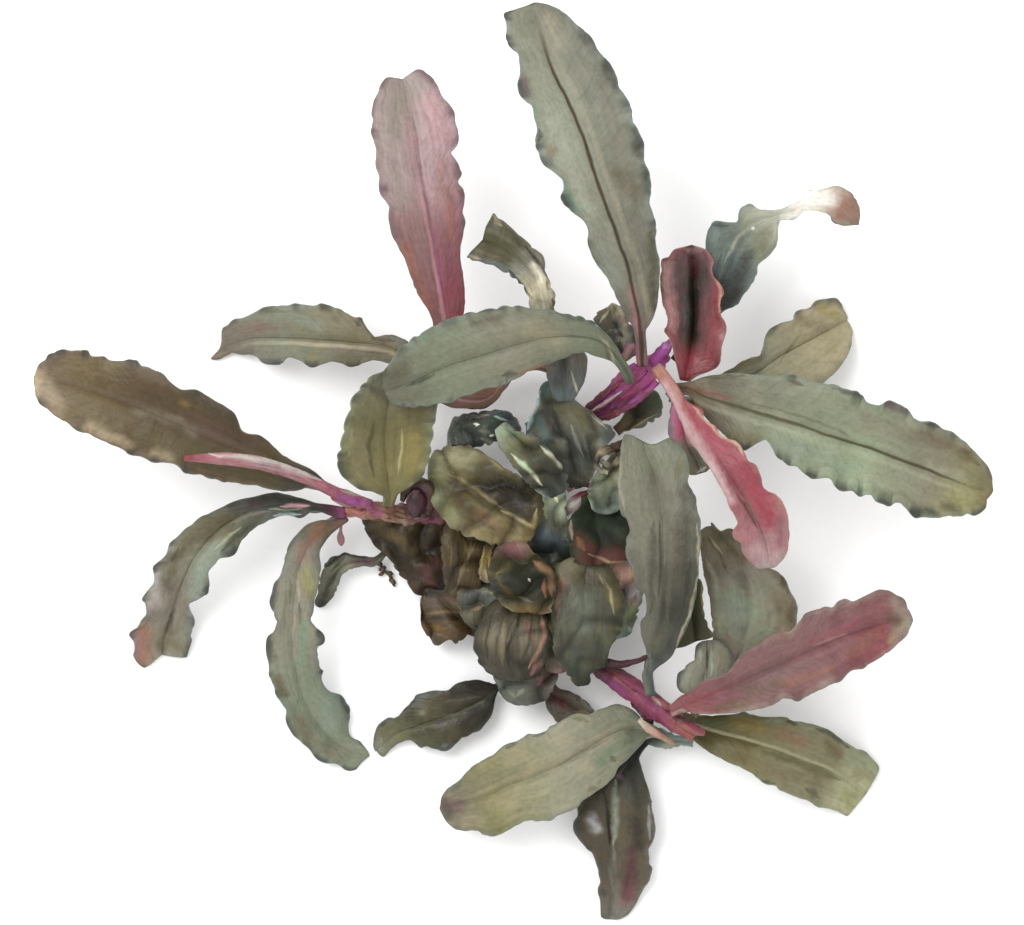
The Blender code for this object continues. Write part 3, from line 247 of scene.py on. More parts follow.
def newTree(name, asked):
    tree = bpy.data.node_groups.new(name, "GeometryNodeTree")
    tree.interface.new_socket("Geometry", in_out="OUTPUT", socket_type="NodeSocketGeometry")
    for label, kind in asked.items():
        tree.interface.new_socket(label, in_out="INPUT", socket_type="NodeSocket" + kind)
    desk = Desk(tree)
    given = tree.nodes.new("NodeGroupInput")
    return desk, {label: Wire(desk, given.outputs[label]) for label in asked}


def finishTree(desk, shape, material):
    # Every tree ends the same way: welded, smooth, realised, with its material.
    shape = desk.node("GeometryNodeMergeByDistance", {}, {"Geometry": shape, "Distance": weldDistance})
    shape = desk.node("GeometryNodeSetShadeSmooth", {}, {"Geometry": shape})
    shape = desk.node("GeometryNodeRealizeInstances", {}, {"Geometry": shape})
    shape = desk.node("GeometryNodeSetMaterial", {}, {"Geometry": shape, "Material": material})
    desk.node("NodeGroupOutput", {}, {"Geometry": shape})


def keep(desk, shape, name, value):
    return desk.node("GeometryNodeStoreNamedAttribute", {"data_type": "FLOAT", "domain": "POINT"},
                     {"Geometry": shape, "Name": name, "Value": value})


def recall(desk, name):
    return desk.node("GeometryNodeInputNamedAttribute", {"data_type": "FLOAT"}, {"Name": name})


def bladeTree():
    desk, ask = newTree("leafBlade", {
        "Rails": "Object", "Rows": "Int", "Points Around": "Int", "Widest": "Float", "Length": "Float",
        "Lift Left": "Float", "Lift Right": "Float", "Ruffle": "Float", "Ruffle Turn": "Float",
        "Scallop Step": "Float", "Scallop Depth": "Float", "Crumple": "Float", "Crumple Size": "Float",
        "Pillow": "Float", "Groove": "Float", "Groove Width": "Float", "Vein Step": "Float",
        "Vein Slant": "Float", "Vein Height": "Float", "Fold": "Float", "Fold Size": "Float",
        "Tip Round": "Float", "Blade Thickness": "Float", "Stalk Thickness": "Float",
        "Stalk Share": "Float", "Crowding": "Float", "Seed": "Float", "Material": "Material"})
    rails = desk.node("GeometryNodeObjectInfo", {}, {"Object": ask["Rails"]}, "Geometry")
    shape = desk.node("GeometryNodeMeshGrid", {}, {
        "Size X": 1.0, "Size Y": 1.0, "Vertices X": ask["Points Around"], "Vertices Y": ask["Rows"]})

    # The grid's x runs over the top from the left edge to the right one, and back underneath.
    spot = desk.node("GeometryNodeInputPosition")
    split = desk.node("ShaderNodeSeparateXYZ", {}, {0: spot})
    around, step = split + 0.5, split.other("Y") + 0.5
    fold = 1.0 - abs(around * 4.0 - 2.0)
    shape = keep(desk, shape, "step", step)
    shape = keep(desk, shape, "along", 1.0 - (1.0 - step) ** ask["Crowding"])
    shape = keep(desk, shape, "across", fold - (fold * math.tau).sine() * (0.5 / math.tau))
    along, across, step = recall(desk, "along"), recall(desk, "across"), recall(desk, "step")

    def rail(index):
        sample = desk.node("GeometryNodeSampleCurve", {"mode": "FACTOR", "data_type": "FLOAT"},
                           {"Curves": rails, "Value": desk.node("GeometryNodeInputRadius"), "Factor": along,
                            "Curve Index": index}, "Position")
        return sample, sample.other("Value") - railShift * mm

    (left, leftLobe), (mid, height), (right, rightLobe) = rail(0), rail(1), rail(2)
    onLeft = across.under(0.0)
    nearTip = ((along - 1.0) / ask["Tip Round"] + 1.0).most(0.0)
    rounding = (1.0 - nearTip ** 2.0).most(0.0) ** 0.5
    outward = ((left - mid) * onLeft + (right - mid) * (1.0 - onLeft)) * rounding
    aside = desk.node("ShaderNodeVectorMath", {"operation": "NORMALIZE"}, {0: outward}, "Vector")
    reach = desk.length(outward)
    far = abs(across)
    spread = desk.length(left - right) / ask["Widest"]

    # Lobes along each edge: the measured ones, and small ones of uneven length between them. They turn down.
    edgeRun = along * ask["Length"] / ask["Scallop Step"]
    drift = desk.noise(desk.triple(edgeRun * 0.55, onLeft * 7.3, ask["Seed"]), 1.0, 1.0) * 4.5
    wave = abs(((edgeRun + drift) * math.pi).sine()) ** 0.8 - 0.62
    worn = desk.noise(desk.triple(edgeRun * 0.6, onLeft * 5.1 + 11.0, ask["Seed"]), 1.0, 1.0) * 2.2 - 0.1
    grown = wave * worn * desk.band(along, 0.06, 0.22) * ask["Scallop Depth"]
    lobe = leftLobe * onLeft + rightLobe * (1.0 - onLeft) + grown
    shape = keep(desk, shape, "lobe", lobe / mm)

    # The blade itself: lifted edges, long ruffles, a crease along the midrib and a pillow on either side of it.
    plan = mid + outward * far + aside * (grown * far ** 5.0)
    lift = ask["Lift Left"] * onLeft + ask["Lift Right"] * (1.0 - onLeft)
    ripple = (step * ask["Ruffle Turn"] + across * 1.6).sine()
    fromRib = reach * far
    groove = desk.node("ShaderNodeMath", {"operation": "EXPONENT"},
                       {0: (fromRib / ask["Groove Width"]) ** 2.0 * -1.0})
    bend = desk.noise(desk.triple(along * 9.0, across * 2.0, ask["Seed"]), 1.0, 1.0) * 1.5
    vein = along * ask["Length"] / ask["Vein Step"] - far * ask["Vein Slant"]
    vein = ((vein + bend) * math.tau).sine()
    shape = keep(desk, shape, "vein", vein)
    shape = keep(desk, shape, "fromRib", fromRib / mm * (1.0 - onLeft * 2.0))
    crumple = desk.noise(plan / ask["Crumple Size"] + desk.triple(ask["Seed"], 0.0, 0.0), 1.0, 1.0, "Color")
    crumple = (crumple - (0.5, 0.5, 0.5)) * ask["Crumple"] * 2.0
    crease = desk.noise(plan / ask["Fold Size"] + desk.triple(0.0, ask["Seed"], 0.0), 1.0, 0.5)
    crease = abs(crease * 2.0 - 1.0) * 3.0
    shape = keep(desk, shape, "crease", crease)
    rise = (height + lift * spread * far ** 2.0
            + ask["Ruffle"] * spread * far ** 3.0 * ripple - lobe * 0.9 * far ** 3.0
            + ask["Pillow"] * spread * (far * math.pi).sine() - ask["Groove"] * spread * groove
            + ask["Vein Height"] * spread * vein * (far * math.pi).sine()
            + ask["Fold"] * (crease.least(1.2) - 0.5) * desk.band(along, 0.0, 0.2))
    place = plan + crumple * desk.band(along, 0.0, 0.15) + desk.triple(0.0, 0.0, rise)
    split = desk.node("ShaderNodeSeparateXYZ", {}, {0: place})
    place = desk.triple(split, split.other("Y"), split.other("Z").most(0.3 * mm))
    shape = desk.node("GeometryNodeSetPosition", {}, {"Geometry": shape, "Position": place})

    # Thickness: stout at the stalk, thin at the edges, closed to nothing over the last half millimetre.
    stalk = (1.0 - along / ask["Stalk Share"]).most(0.0)
    thick = ask["Blade Thickness"] + (ask["Stalk Thickness"] - ask["Blade Thickness"]) * stalk
    ends = (along.least(1.0 - along) * ask["Length"] / (0.5 * mm)).least(1.0) ** 0.5
    bulge = (1.0 - far ** 6.0).most(0.0) ** 0.5
    facing = desk.node("GeometryNodeInputNormal")
    shape = desk.node("GeometryNodeSetPosition", {},
                      {"Geometry": shape, "Offset": facing * (thick * 0.5 * ends * bulge)})
    finishTree(desk, shape, ask["Material"])
    return desk.tree


def stemTree():
    desk, ask = newTree("stemTube", {
        "Path": "Object", "Sides": "Int", "Step": "Float", "Knobs": "Float", "Knob Size": "Float",
        "Rings": "Float", "Ring Step": "Float", "Seed": "Float", "Material": "Material"})
    path = desk.node("GeometryNodeObjectInfo", {}, {"Object": ask["Path"]}, "Geometry")
    path = desk.node("GeometryNodeResampleCurve", {"mode": "LENGTH"}, {"Curve": path, "Length": ask["Step"]})
    run = desk.node("GeometryNodeSplineParameter")
    path = keep(desk, path, "along", run)
    path = keep(desk, path, "run", run.other("Length"))
    profile = desk.node("GeometryNodeCurvePrimitiveCircle", {"mode": "RADIUS"},
                        {"Resolution": ask["Sides"], "Radius": 1.0})
    profile = keep(desk, profile, "turn", desk.node("GeometryNodeSplineParameter") * math.tau)
    radius = desk.node("GeometryNodeInputRadius")
    shape = desk.node("GeometryNodeCurveToMesh", {}, {
        "Curve": path, "Profile Curve": profile, "Fill Caps": True, "Scale": radius})
    shape = desk.node("GeometryNodeMergeByDistance", {}, {"Geometry": shape, "Distance": weldDistance})
    spot = desk.node("GeometryNodeInputPosition")
    turn = recall(desk, "turn")
    spiral = desk.triple(turn.sine(), (turn + math.pi / 2).sine(),
                         recall(desk, "run") * 0.4 / ask["Knob Size"] + ask["Seed"])
    knob = ((desk.noise(spot / ask["Knob Size"] + desk.triple(ask["Seed"], 0.0, 0.0), 1.0, 2.0) - 0.5) * 0.6
            + (desk.noise(spiral * 1.6, 1.0, 1.0) - 0.5) * 1.4) * ask["Knobs"]
    ring = (recall(desk, "run") * math.tau / ask["Ring Step"]).sine().most(0.0) ** 3.0 * ask["Rings"]
    facing = desk.node("GeometryNodeInputNormal")
    shape = desk.node("GeometryNodeSetPosition", {}, {"Geometry": shape, "Offset": facing * (knob + ring)})
    low = desk.node("ShaderNodeSeparateXYZ", {}, {0: spot})
    shape = desk.node("GeometryNodeSetPosition", {}, {
        "Geometry": shape, "Position": desk.triple(low, low.other("Y"), low.other("Z").most(0.0))})
    finishTree(desk, shape, ask["Material"])
    return desk.tree


def guideOf(name, lines):
    # The rails as one flat curve object. A point's radius carries its height, or a stem's thickness.
    curve = bpy.data.curves.new(name + "Guide", "CURVE")
    curve.dimensions = "3D"
    for line in lines:
        spline = curve.splines.new("POLY")
        spline.points.add(len(line) - 1)
        for point, place in zip(spline.points, line):
            point.co = (*(Vector(place[:3]) * mm), 1)
            point.radius = place[3] * mm
    guide = bpy.data.objects.new(curve.name, curve)
    collection.objects.link(guide)
    return guide


def grow(name, tree, inputs, guide, node):
    # Runs the tree once, keeps its mesh, and puts the piece in the CAD node's place.
    host = bpy.data.objects.new(name, bpy.data.meshes.new(name + "Start"))
    collection.objects.link(host)
    modifier = host.modifiers.new("Growth", "NODES")
    modifier.node_group = tree
    identifiers = {item.name: item.identifier for item in tree.interface.items_tree if item.in_out == "INPUT"}
    for label, value in inputs.items():
        modifier[identifiers[label]] = value
    bpy.context.view_layer.update()
    depsgraph = bpy.context.evaluated_depsgraph_get()
    mesh = bpy.data.meshes.new_from_object(host.evaluated_get(depsgraph), preserve_all_data_layers=True,
                                           depsgraph=depsgraph)
    mesh.name = name
    host.modifiers.clear()
    host.data = mesh
    bpy.data.objects.remove(guide)
    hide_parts(node)
    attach(host, "root")


bladeGrowth = bladeTree()
stemGrowth = stemTree()


# Finishes. A leaf is painted from its base to its tip, then its edges, its halves, its midrib and its marks.

thinStroke = 0.8  # a mark narrower than this tapers
strokeReach = 1.3  # how far a mark fades, in its own widths
luminance = (0.3, 0.5, 0.2)
scarStep = 2.4


def stopsOf(text):
    # "0 plum 0.4 wine" is plum at the base, changing to wine at 0.4 of the length.
    words = text.split()
    return [(float(share), toneOf(tone)) for share, tone in zip(words[::2], words[1::2])]


def strokeMask(desk, spot, points, width):
    # 1 on a stroke through the points, fading out over its width in millimetres. A thin one tapers at its ends.
    near = None
    for here, ahead in zip(points, points[1:] or points):
        start, run = Vector((*here, 0)), Vector((*ahead, 0)) - Vector((*here, 0))
        gap = spot - start
        if run.length:
            share = desk.node("ShaderNodeClamp", {}, {0: desk.dot(gap, run / run.length_squared)})
            gap = gap - desk.node("ShaderNodeVectorMath", {"operation": "SCALE"}, {0: run, "Scale": share})
        away = desk.length(gap)
        if run.length and width < thinStroke:
            if here == points[0]:
                away = away / desk.band(share, -0.25, 0.6)
            if ahead == points[-1]:
                away = away / desk.band(share, 1.25, 0.4)
        near = away if near is None else near.least(away)
    return desk.band(near, width * strokeReach, 0.0)


def paintMarks(desk, color, plan, drift, marks):
    # A mark is "tone strength width points". A thin one keeps its line, a broad one wanders.
    patchy = desk.band(desk.noise(plan + (3.0, 0.0, 0.0), 0.8, 2.0), 0.34, 0.56) * 0.3 + 0.7
    for mark in marks.split("; ") if marks else []:
        tone, strength, width, points = mark.split(" ", 3)
        reach = min(1.6, 0.3 + float(width) * 1.2)
        mask = strokeMask(desk, plan + drift * (reach, reach, 0.0), pointsOf(points), float(width))
        color = desk.blend(mask * patchy * float(strength), color, toneOf(tone))
    return color


def startFinish(name, seed):
    material = bpy.data.materials.new(name + "Finish")
    material.use_nodes = True
    desk = Desk(material.node_tree)
    place = desk.node("ShaderNodeTexCoord", out="Object")
    plan = place * (1 / mm, 1 / mm, 0.0)
    drift = desk.noise(plan + (seed * 3.1, seed * 1.7, 0.0), 0.55, 3.0, "Color") - 0.5
    return material, desk, plan, drift


def connect(material, desk, color, rough, height, depth, gloss):
    shader = material.node_tree.nodes["Principled BSDF"]
    sockets = {"Strength": 1.0, "Distance": depth * mm, "Height": height}
    bump = desk.node("ShaderNodeBump", {}, sockets, "Normal")
    shader.inputs["Specular IOR Level"].default_value = gloss
    for socket, wire in (("Base Color", color), ("Roughness", rough), ("Normal", bump)):
        desk.tree.links.new(wire.socket, shader.inputs[socket])


def slowDrift(desk, plan, seed):
    return desk.noise(plan + (seed, seed * 2.3, 0.0), 0.25, 2.0)


def leafFinish(name, leaf, seed, length):
    material, desk, plan, drift = startFinish(name, seed)

    def read(attribute):
        return desk.node("ShaderNodeAttribute", {"attribute_name": attribute}, out="Fac")

    along, across, fromRib = read("along"), read("across"), read("fromRib")
    lobe, vein, far = read("lobe"), read("vein"), abs(across)
    stops = stopsOf(leaf["tones"])
    color = desk.ramp(stops, along + (slowDrift(desk, plan, seed) - 0.5) * 0.12)

    # Fine grain along the leaf, a speckle, and larger blotches.
    grain = desk.noise(desk.triple(across * 11.0 + seed, along * length * 0.16, seed), 1.0, 3.0)
    speckle = desk.noise(plan + (0.0, seed * 2.9, 0.0), 1.7, 3.0)
    blotch = desk.noise(plan + (seed * 5.3, 0.0, 0.0), 0.34, 4.0)
    # One half of the blade in another tone: partly the leaf's own colour, partly painted light and shade, as
    # one half turns to the light and the other away from it.
    for side, key in ((-1.0, "leftHalf"), (1.0, "rightHalf")):
        if key in leaf:
            tone, strength = leaf[key]
            color = desk.blend(desk.band(across * side, -0.05, 0.3) * strength, color, toneOf(tone))
    tone, strength = leaf.get("mottle", ("taupe", 0.3))
    color = desk.blend(desk.band(blotch, 0.48, 0.66) * strength, color, toneOf(tone))
    tone, start, strength = leaf.get("edge", ("steel", 0.75, 0.35))
    color = desk.blend(desk.band(far + (blotch - 0.5) * 0.5, start, 1.02) * strength, color, toneOf(tone))
    # Painted shade on the lobes of each edge, where the edge turns down away from the light.
    tone, strength = leaf.get("lobeShading", ("slate", 0.8))
    lobeShadeMask = desk.band(lobe, 0.03, 0.26) * desk.band(far, 0.66, 0.97) * desk.band(along, 0.1, 0.2)
    color = desk.blend(lobeShadeMask * strength, color, toneOf(tone))
    color = paintMarks(desk, color, plan, drift, leaf.get("marks"))
    if "ridge" in leaf:
        tone, offset, width, strength = leaf["ridge"]
        line = desk.band(abs(fromRib - offset), width, width * 0.2)
        color = desk.blend(line * desk.band(along, 0.98, 0.8) * strength, color, toneOf(tone))
    if "rib" in leaf:
        tone, width, strength = leaf["rib"]
        line = desk.band(abs(fromRib + (grain - 0.5) * 0.3), width, width * 0.3)
        color = desk.blend(line * desk.band(along, 0.97, 0.8) * strength, color, toneOf(tone))
    # A painted highlight: a thin pale band along the very edge of the blade, where light shines through it.
    rim, strength = leaf.get("rim", ("blueSage", 0.35))
    color = desk.blend(desk.band(far, 0.965, 0.995) * strength, color, toneOf(rim))
    veinLine = desk.band(vein, 0.3, 1.0) * desk.band(far, 0.0, 0.2)
    shade = (1.0 + (grain - 0.5) * leaf.get("grain", 0.5) + (speckle - 0.5) * 0.45
             + (blotch - 0.5) * 0.6 - veinLine * 0.04)
    # Painted shade in the valleys of the folds.
    if "fold" in leaf:
        shade = shade * (0.55 + desk.band(read("crease"), 0.0, 0.7) * 0.5)

    # More contrast of light and dark about the mean of the tones, and the leaf's own tint.
    pivot = sum(sum(tone[:3]) / 3 for share, tone in stops) / len(stops)
    shade = shade * (desk.dot(color, luminance) / pivot) ** (leaf["contrast"] - 1.0)
    color = color * leaf.get("tint", (1.0, 1.0, 1.0)) * shade
    rough = leaf.get("rough", 0.42) + (speckle - 0.5) * 0.3
    relief = grain * 0.4 + speckle * 0.5 - veinLine * 0.35 + blotch * 0.4
    connect(material, desk, color, rough, relief, leaf.get("bump", 0.09), leaf.get("gloss", 0.2))
    return material


def stemFinish(name, stem, seed):
    material, desk, plan, drift = startFinish(name, seed)
    along = desk.node("ShaderNodeAttribute", {"attribute_name": "along"}, out="Fac")
    run = desk.node("ShaderNodeAttribute", {"attribute_name": "run"}, out="Fac") / mm
    color = desk.ramp(stopsOf(stem["tones"]), along + (slowDrift(desk, plan, seed) - 0.5) * 0.15)
    place = desk.node("ShaderNodeTexCoord", out="Object") / mm
    turn = desk.node("ShaderNodeAttribute", {"attribute_name": "turn"}, out="Fac")
    spiral = desk.triple(turn.sine() * 4.0, (turn + math.pi / 2).sine() * 4.0, run * 0.45 + seed)
    grain = desk.noise(place * 2.2 + (seed, 0.0, 0.0), 1.0, 4.0) * 0.4 + desk.noise(spiral, 1.0, 3.0) * 0.6
    blotch = desk.noise(place + (seed * 4.1, 0.0, 0.0), 0.6, 3.0)
    tone, strength = stem.get("mottle", ("plum", 0.5))
    color = desk.blend(desk.band(blotch, 0.45, 0.65) * strength, color, toneOf(tone))
    tone, strength = stem.get("streaks", ("plum", 0.0))
    streak = desk.band(desk.noise(spiral + (seed, 0.0, 9.0), 0.8, 2.0), 0.5, 0.62)
    color = desk.blend(streak * strength, color, toneOf(tone))
    scar = ((run + (blotch - 0.5) * 1.5) * (math.tau / scarStep)).sine()
    color = desk.blend(desk.band(scar, 0.75, 0.97) * stem.get("scars", 0.3), color, toneOf("umber"))
    color = paintMarks(desk, color, plan, drift, stem.get("marks"))
    color = color * stem.get("tint", (1.0, 1.0, 1.0)) * (1.0 + (grain - 0.5) * 0.8)
    rough = 0.4 + (grain - 0.5) * 0.3
    connect(material, desk, color, rough, grain + scar * 0.3, stem.get("bump", 0.15), stem.get("gloss", 0.25))
    return material


pieceCount = 0  # seeds each piece's noise, so the order of the pieces matters
oldLeaf = {"scallops": (1.8, 0.35), "tipRound": 0.7, "crumple": 0.45, "crumpleSize": 3.0, "pillow": 0.06,
           "groove": 0.1, "fold": 1.3, "rough": 0.42, "gloss": 0.22, "bump": 0.1}
leafSizes = {"big": (11, 65), "middle": (7, 57), "small": (6, 49)}  # ruffles along the leaf, points around it

# What all blades and all stems share, in millimetres but for the counts, shares and slants.
rowLength, leastRows, mostRows = 0.27, 48, 220
bladeThickness, stalkThickness, stalkShare = 0.4, 1.5, 0.22
grooveWidth, foldSize, ruffleTurn = 0.45, 5.0, 2.1
veinStep, veinSlant, veinHeight = 1.9, 2.4, 0.025
stemSides, stemStep = 28, 0.25
leafSeed, stemSeed = 7.31, 3.7  # times the piece's number


def nodeOf(name):
    # leafLeftLong stands for the CAD's leaf_left_long.
    return "".join("_" + letter.lower() if letter.isupper() else letter for letter in name)


def growLeaf(name, leaf):
    global pieceCount
    pieceCount += 1
    seed = pieceCount * leafSeed
    left, mid, right = railsOf(leaf)
    length = float(np.linalg.norm(np.diff(mid[:, :2], axis=0), axis=1).sum())
    widest = float(np.linalg.norm(left[:, :2] - right[:, :2], axis=1).max())
    lines = [[(x, y, 0, value + railShift) for x, y, value in line] for line in (left, mid, right)]
    turns, pointsAround = leafSizes[leaf["size"]]
    (liftLeft, liftRight), (scallopStep, scallopDepth) = leaf["lift"], leaf.get("scallops", (2.4, 0.1))
    inputs = {
        "Rails": guideOf(name, lines), "Rows": max(leastRows, min(mostRows, round(length / rowLength))),
        "Points Around": pointsAround, "Widest": widest * mm, "Length": length * mm,
        "Lift Left": liftLeft * mm, "Lift Right": liftRight * mm,
        "Ruffle": leaf["ruffle"] * mm, "Ruffle Turn": ruffleTurn * turns,
        "Scallop Step": scallopStep * mm, "Scallop Depth": scallopDepth * mm,
        "Crumple": leaf.get("crumple", 0.18) * mm, "Crumple Size": leaf.get("crumpleSize", 2.6) * mm,
        "Pillow": leaf.get("pillow", 0.25) * mm,
        "Groove": leaf.get("groove", 0.3) * mm, "Groove Width": grooveWidth * mm,
        "Vein Step": veinStep * mm, "Vein Slant": veinSlant, "Vein Height": veinHeight * mm,
        "Fold": leaf.get("fold", 0.0) * mm, "Fold Size": foldSize * mm,
        "Tip Round": leaf.get("tipRound", 1.6) / length,
        "Blade Thickness": bladeThickness * mm, "Stalk Thickness": stalkThickness * mm,
        "Stalk Share": stalkShare, "Crowding": tipCrowding, "Seed": seed,
        "Material": leafFinish(name, leaf, seed, length)}
    grow(name, bladeGrowth, inputs, inputs["Rails"], nodeOf(name))


def growStem(name, stem):
    global pieceCount
    pieceCount += 1
    lines = [stem["path"], *(stem["strands"].split("; ") if "strands" in stem else [])]
    inputs = {
        "Path": guideOf(name, [smoothLine(pointsOf(line)) for line in lines]),
        "Sides": stemSides, "Step": stemStep * mm,
        "Knobs": stem.get("knobs", 0.4) * mm, "Knob Size": stem.get("knobSize", 1.2) * mm,
        "Rings": stem.get("rings", 0.1) * mm, "Ring Step": scarStep * mm,
        "Seed": pieceCount * stemSeed, "Material": stemFinish(name, stem, pieceCount * stemSeed)}
    grow(name, stemGrowth, inputs, inputs["Path"], nodeOf(name))


# The left shoot.

growLeaf("leafLeftLong", {
    "slot": "brown_leaf", "size": "big", "lift": (0.5, 0.9), "ruffle": 0.5, "contrast": 1.29,
    "tint": (1.07, 1.03, 1.01), "tipRound": 0.8, "edge": ("taupe", 0.72, 0.45), "mottle": ("umber", 0.4),
    "ridge": ("taupe", 0.5, 0.7, 0.3), "rib": ("umber", 0.25, 0.4),
    "mid": "-226,-37,102 -255,-26,114 -290,-12,128 -330,9,142 -380,30,154 -440,56,160 -500,78,154 -555,95,142 "
        "-599,106,130",
    "left": "-227,-43 -254,-32 -265,-35 -281,-37 -298,-36 -320,-30 -338,-28 -350,-26 -361,-26 -370,-23 "
        "-380,-21 -389,-16 -400,-16 -411,-13 -418,-6 -428,-1 -440,-1 -452,0 -460,5 -467,8 -480,9 -489,16 "
        "-520,30 -529,36 -539,37 -549,43 -558,50 -569,55 -589,70 -596,80 -599,90",
    "right": "-225,-31 -245,-15 -254,-9 -268,-2 -279,4 -290,11 -300,20 -311,30 -320,34 -332,36 -340,41 "
        "-344,54 -350,63 -360,70 -370,75 -380,82 -391,88 -400,91 -415,91 -424,97 -431,104 -437,112 -446,114 "
        "-455,118 -464,121 -470,126 -481,128 -493,126 -504,127 -510,132 -526,133 -531,140 -542,140 -553,139 "
        "-562,141 -572,138 -581,134 -585,128 -593,122 -597,114",
    "tones": "0 flint 0.12 pewter 0.25 earth 0.6 earth 0.85 ochre 0.96 taupe 1 sand",
    "marks": "umber 0.45 3 -340,40 -410,66 -480,96; moss 0.5 2 -300,-16 -400,10 -460,30; "
        "dusk 0.3 1.6 -420,50 -330,20; stone 0.5 0.9 -470,63 -420,52 -400,36; "
        "taupe 0.6 1.2 -460,112 -440,106; gold 0.4 0.8 -410,73; olive 0.6 1 -510,120 -490,120; "
        "sand 0.55 1 -480,22 -530,44; sand 0.5 0.8 -450,12 -430,8; olive 0.5 0.7 -444,18; "
        "sand 0.6 1.4 -590,105 -570,68; flint 0.5 0.8 -405,86 -344,50; umber 0.6 0.4 -360,-20 -410,-8; "
        "darkWine 0.4 0.6 -260,-20 -320,6",
})

growLeaf("leafLeftArching", {
    "slot": "green_leaf", "size": "big", "lift": (-0.6, -0.4), "ruffle": 0.5, "contrast": 1.55,
    "tint": (1.17, 1.23, 1.29), "tipRound": 0.35, "edge": ("steel", 0.78, 0.4), "mottle": ("ash", 0.35),
    "mid": "-222,-61,88 -250,-58,98 -290,-54,112 -335,-63,118 -375,-90,108 -405,-130,84 -423,-175,54 "
        "-436,-215,24 -440,-242,7",
    "left": "-223,-67 -250,-62 -264,-70 -277,-68 -295,-69 -322,-82 -339,-99 -349,-117 -366,-120 -371,-126 "
        "-380,-136 -381,-142 -382,-164 -405,-179 -398,-198 -404,-216 -403,-224 -409,-244 -412,-246",
    "right": "-221,-55 -250,-52 -260,-48 -282,-42 -295,-39 -306,-40 -340,-47 -360,-54 -380,-65 -390,-68 "
        "-400,-77 -410,-83 -420,-94 -429,-101 -436,-117 -450,-130 -451,-136 -449,-150 -454,-157 -465,-171 "
        "-460,-177 -460,-190 -466,-198 -472,-208 -480,-213 -480,-219 -475,-225 -475,-236 -476,-244 -464,-258 "
        "-458,-256",
    "tones": "0 magenta 0.06 plum 0.12 flint 0.3 pewter 0.45 moss 0.6 stone 0.8 taupe 1 stone",
    "marks": "soot 0.5 1.4 -270,-49 -310,-46 -350,-56; coolSage 0.65 1.6 -370,-110 -390,-136 -396,-166; "
        "earth 0.7 1.4 -360,-70 -400,-96 -426,-124 -434,-154; umber 0.6 0.7 -420,-108 -428,-124; "
        "darkWine 0.4 0.7 -310,-52 -340,-58; taupe 0.8 0.28 -304,-62 -330,-66 -354,-78; "
        "paleRose 0.7 0.35 -254,-54 -276,-54 -292,-56; sage 0.7 0.3 -264,-58 -306,-59; "
        "soot 0.6 0.25 -270,-57.5 -296,-58; blueSage 0.6 0.45 -266,-65 -300,-66; "
        "deepGreen 0.65 0.45 -330,-80 -348,-96 -364,-112; paleSage 0.5 0.3 -340,-81 -374,-110; "
        "slate 0.6 0.8 -348,-112 -360,-115; flint 0.75 0.35 -423,-182 -429,-200 -436,-216; "
        "brown 0.6 1.3 -430,-210 -440,-230; mauveGrey 0.6 1.4 -448,-146 -450,-176; "
        "rust 0.75 1.7 -464,-216 -464,-248; rosewood 0.6 0.8 -472,-218 -472,-240; "
        "ochre 0.6 0.9 -418,-234 -428,-228; slate 0.6 0.7 -384,-164 -384,-156; slate 0.6 0.6 -449,-136; "
        "flint 0.6 0.5 -408,-244; coolSage 0.5 0.8 -404,-190 -406,-210",
})

growLeaf("leafLeftDrooping", {
    "slot": "green_leaf", "size": "big", "lift": (-0.5, 0.3), "ruffle": 0.5, "contrast": 1.2,
    "tint": (1.21, 1.25, 1.32), "scallops": (2.4, 0.12), "tipRound": 0.4, "edge": ("steel", 0.75, 0.4),
    "mottle": ("taupe", 0.3),
    "mid": "-220,-74,78 -238,-86,88 -260,-112,100 -270,-150,106 -276,-195,100 -275,-245,82 -263,-295,54 "
        "-236,-340,24 -206,-363,8 -180,-369,4",
    "left": "-216,-80 -230,-93 -241,-112 -241,-125 -241,-140 -250,-186 -252,-199 -239,-213 -236,-222 "
        "-239,-229 -245,-234 -241,-258 -237,-261 -239,-270 -236,-281 -228,-288 -215,-292 -204,-312 -206,-336 "
        "-202,-346 -191,-352 -179,-367",
    "right": "-223,-70 -244,-74 -260,-80 -270,-90 -279,-101 -284,-114 -287,-129 -291,-142 -299,-151 -302,-165 "
        "-304,-178 -300,-190 -296,-202 -300,-212 -308,-219 -309,-238 -306,-251 -305,-266 -300,-279 -297,-291 "
        "-289,-304 -284,-311 -285,-323 -278,-338 -266,-351 -256,-360 -247,-372 -234,-378 -219,-380 -209,-386 "
        "-198,-385 -191,-378 -183,-370",
    "tones": "0 rosewood 0.08 brown 0.16 ash 0.3 stone 0.5 stone 0.62 fern 1 fern",
    "marks": "rust 0.6 0.9 -244,-84 -256,-104; clay 0.6 1.1 -264,-106 -262,-124; "
        "yellowOlive 0.8 1.3 -256,-136 -252,-154; gold 0.35 1 -262,-140 -256,-166; "
        "straw 0.5 0.3 -269,-136 -268,-176; moss 0.7 0.4 -278,-146 -279,-180; "
        "deepOlive 0.6 0.35 -267,-176 -267,-204; moss 0.5 0.4 -284,-150 -286,-210; "
        "sand 0.5 0.35 -275,-186 -275,-224; flint 0.5 0.7 -298,-158 -299,-180; "
        "flint 0.7 0.8 -305,-226 -303,-246; leafGreen 0.5 1 -262,-204 -264,-250; "
        "earth 0.8 0.9 -293,-272 -288,-290; coolSage 0.6 1.6 -224,-300 -234,-328; "
        "slate 0.75 0.5 -216,-294 -207,-314; deepGreen 0.6 0.6 -244,-212 -242,-222; "
        "brown 0.6 1.4 -266,-324 -254,-350; earth 0.5 1.2 -234,-358 -224,-370; "
        "flint 0.5 0.6 -264,-348 -248,-368; taupe 0.5 0.5 -246,-246 -244,-264; flint 0.8 0.35 -240,-262; "
        "stone 0.5 1.4 -204,-362 -220,-366",
})

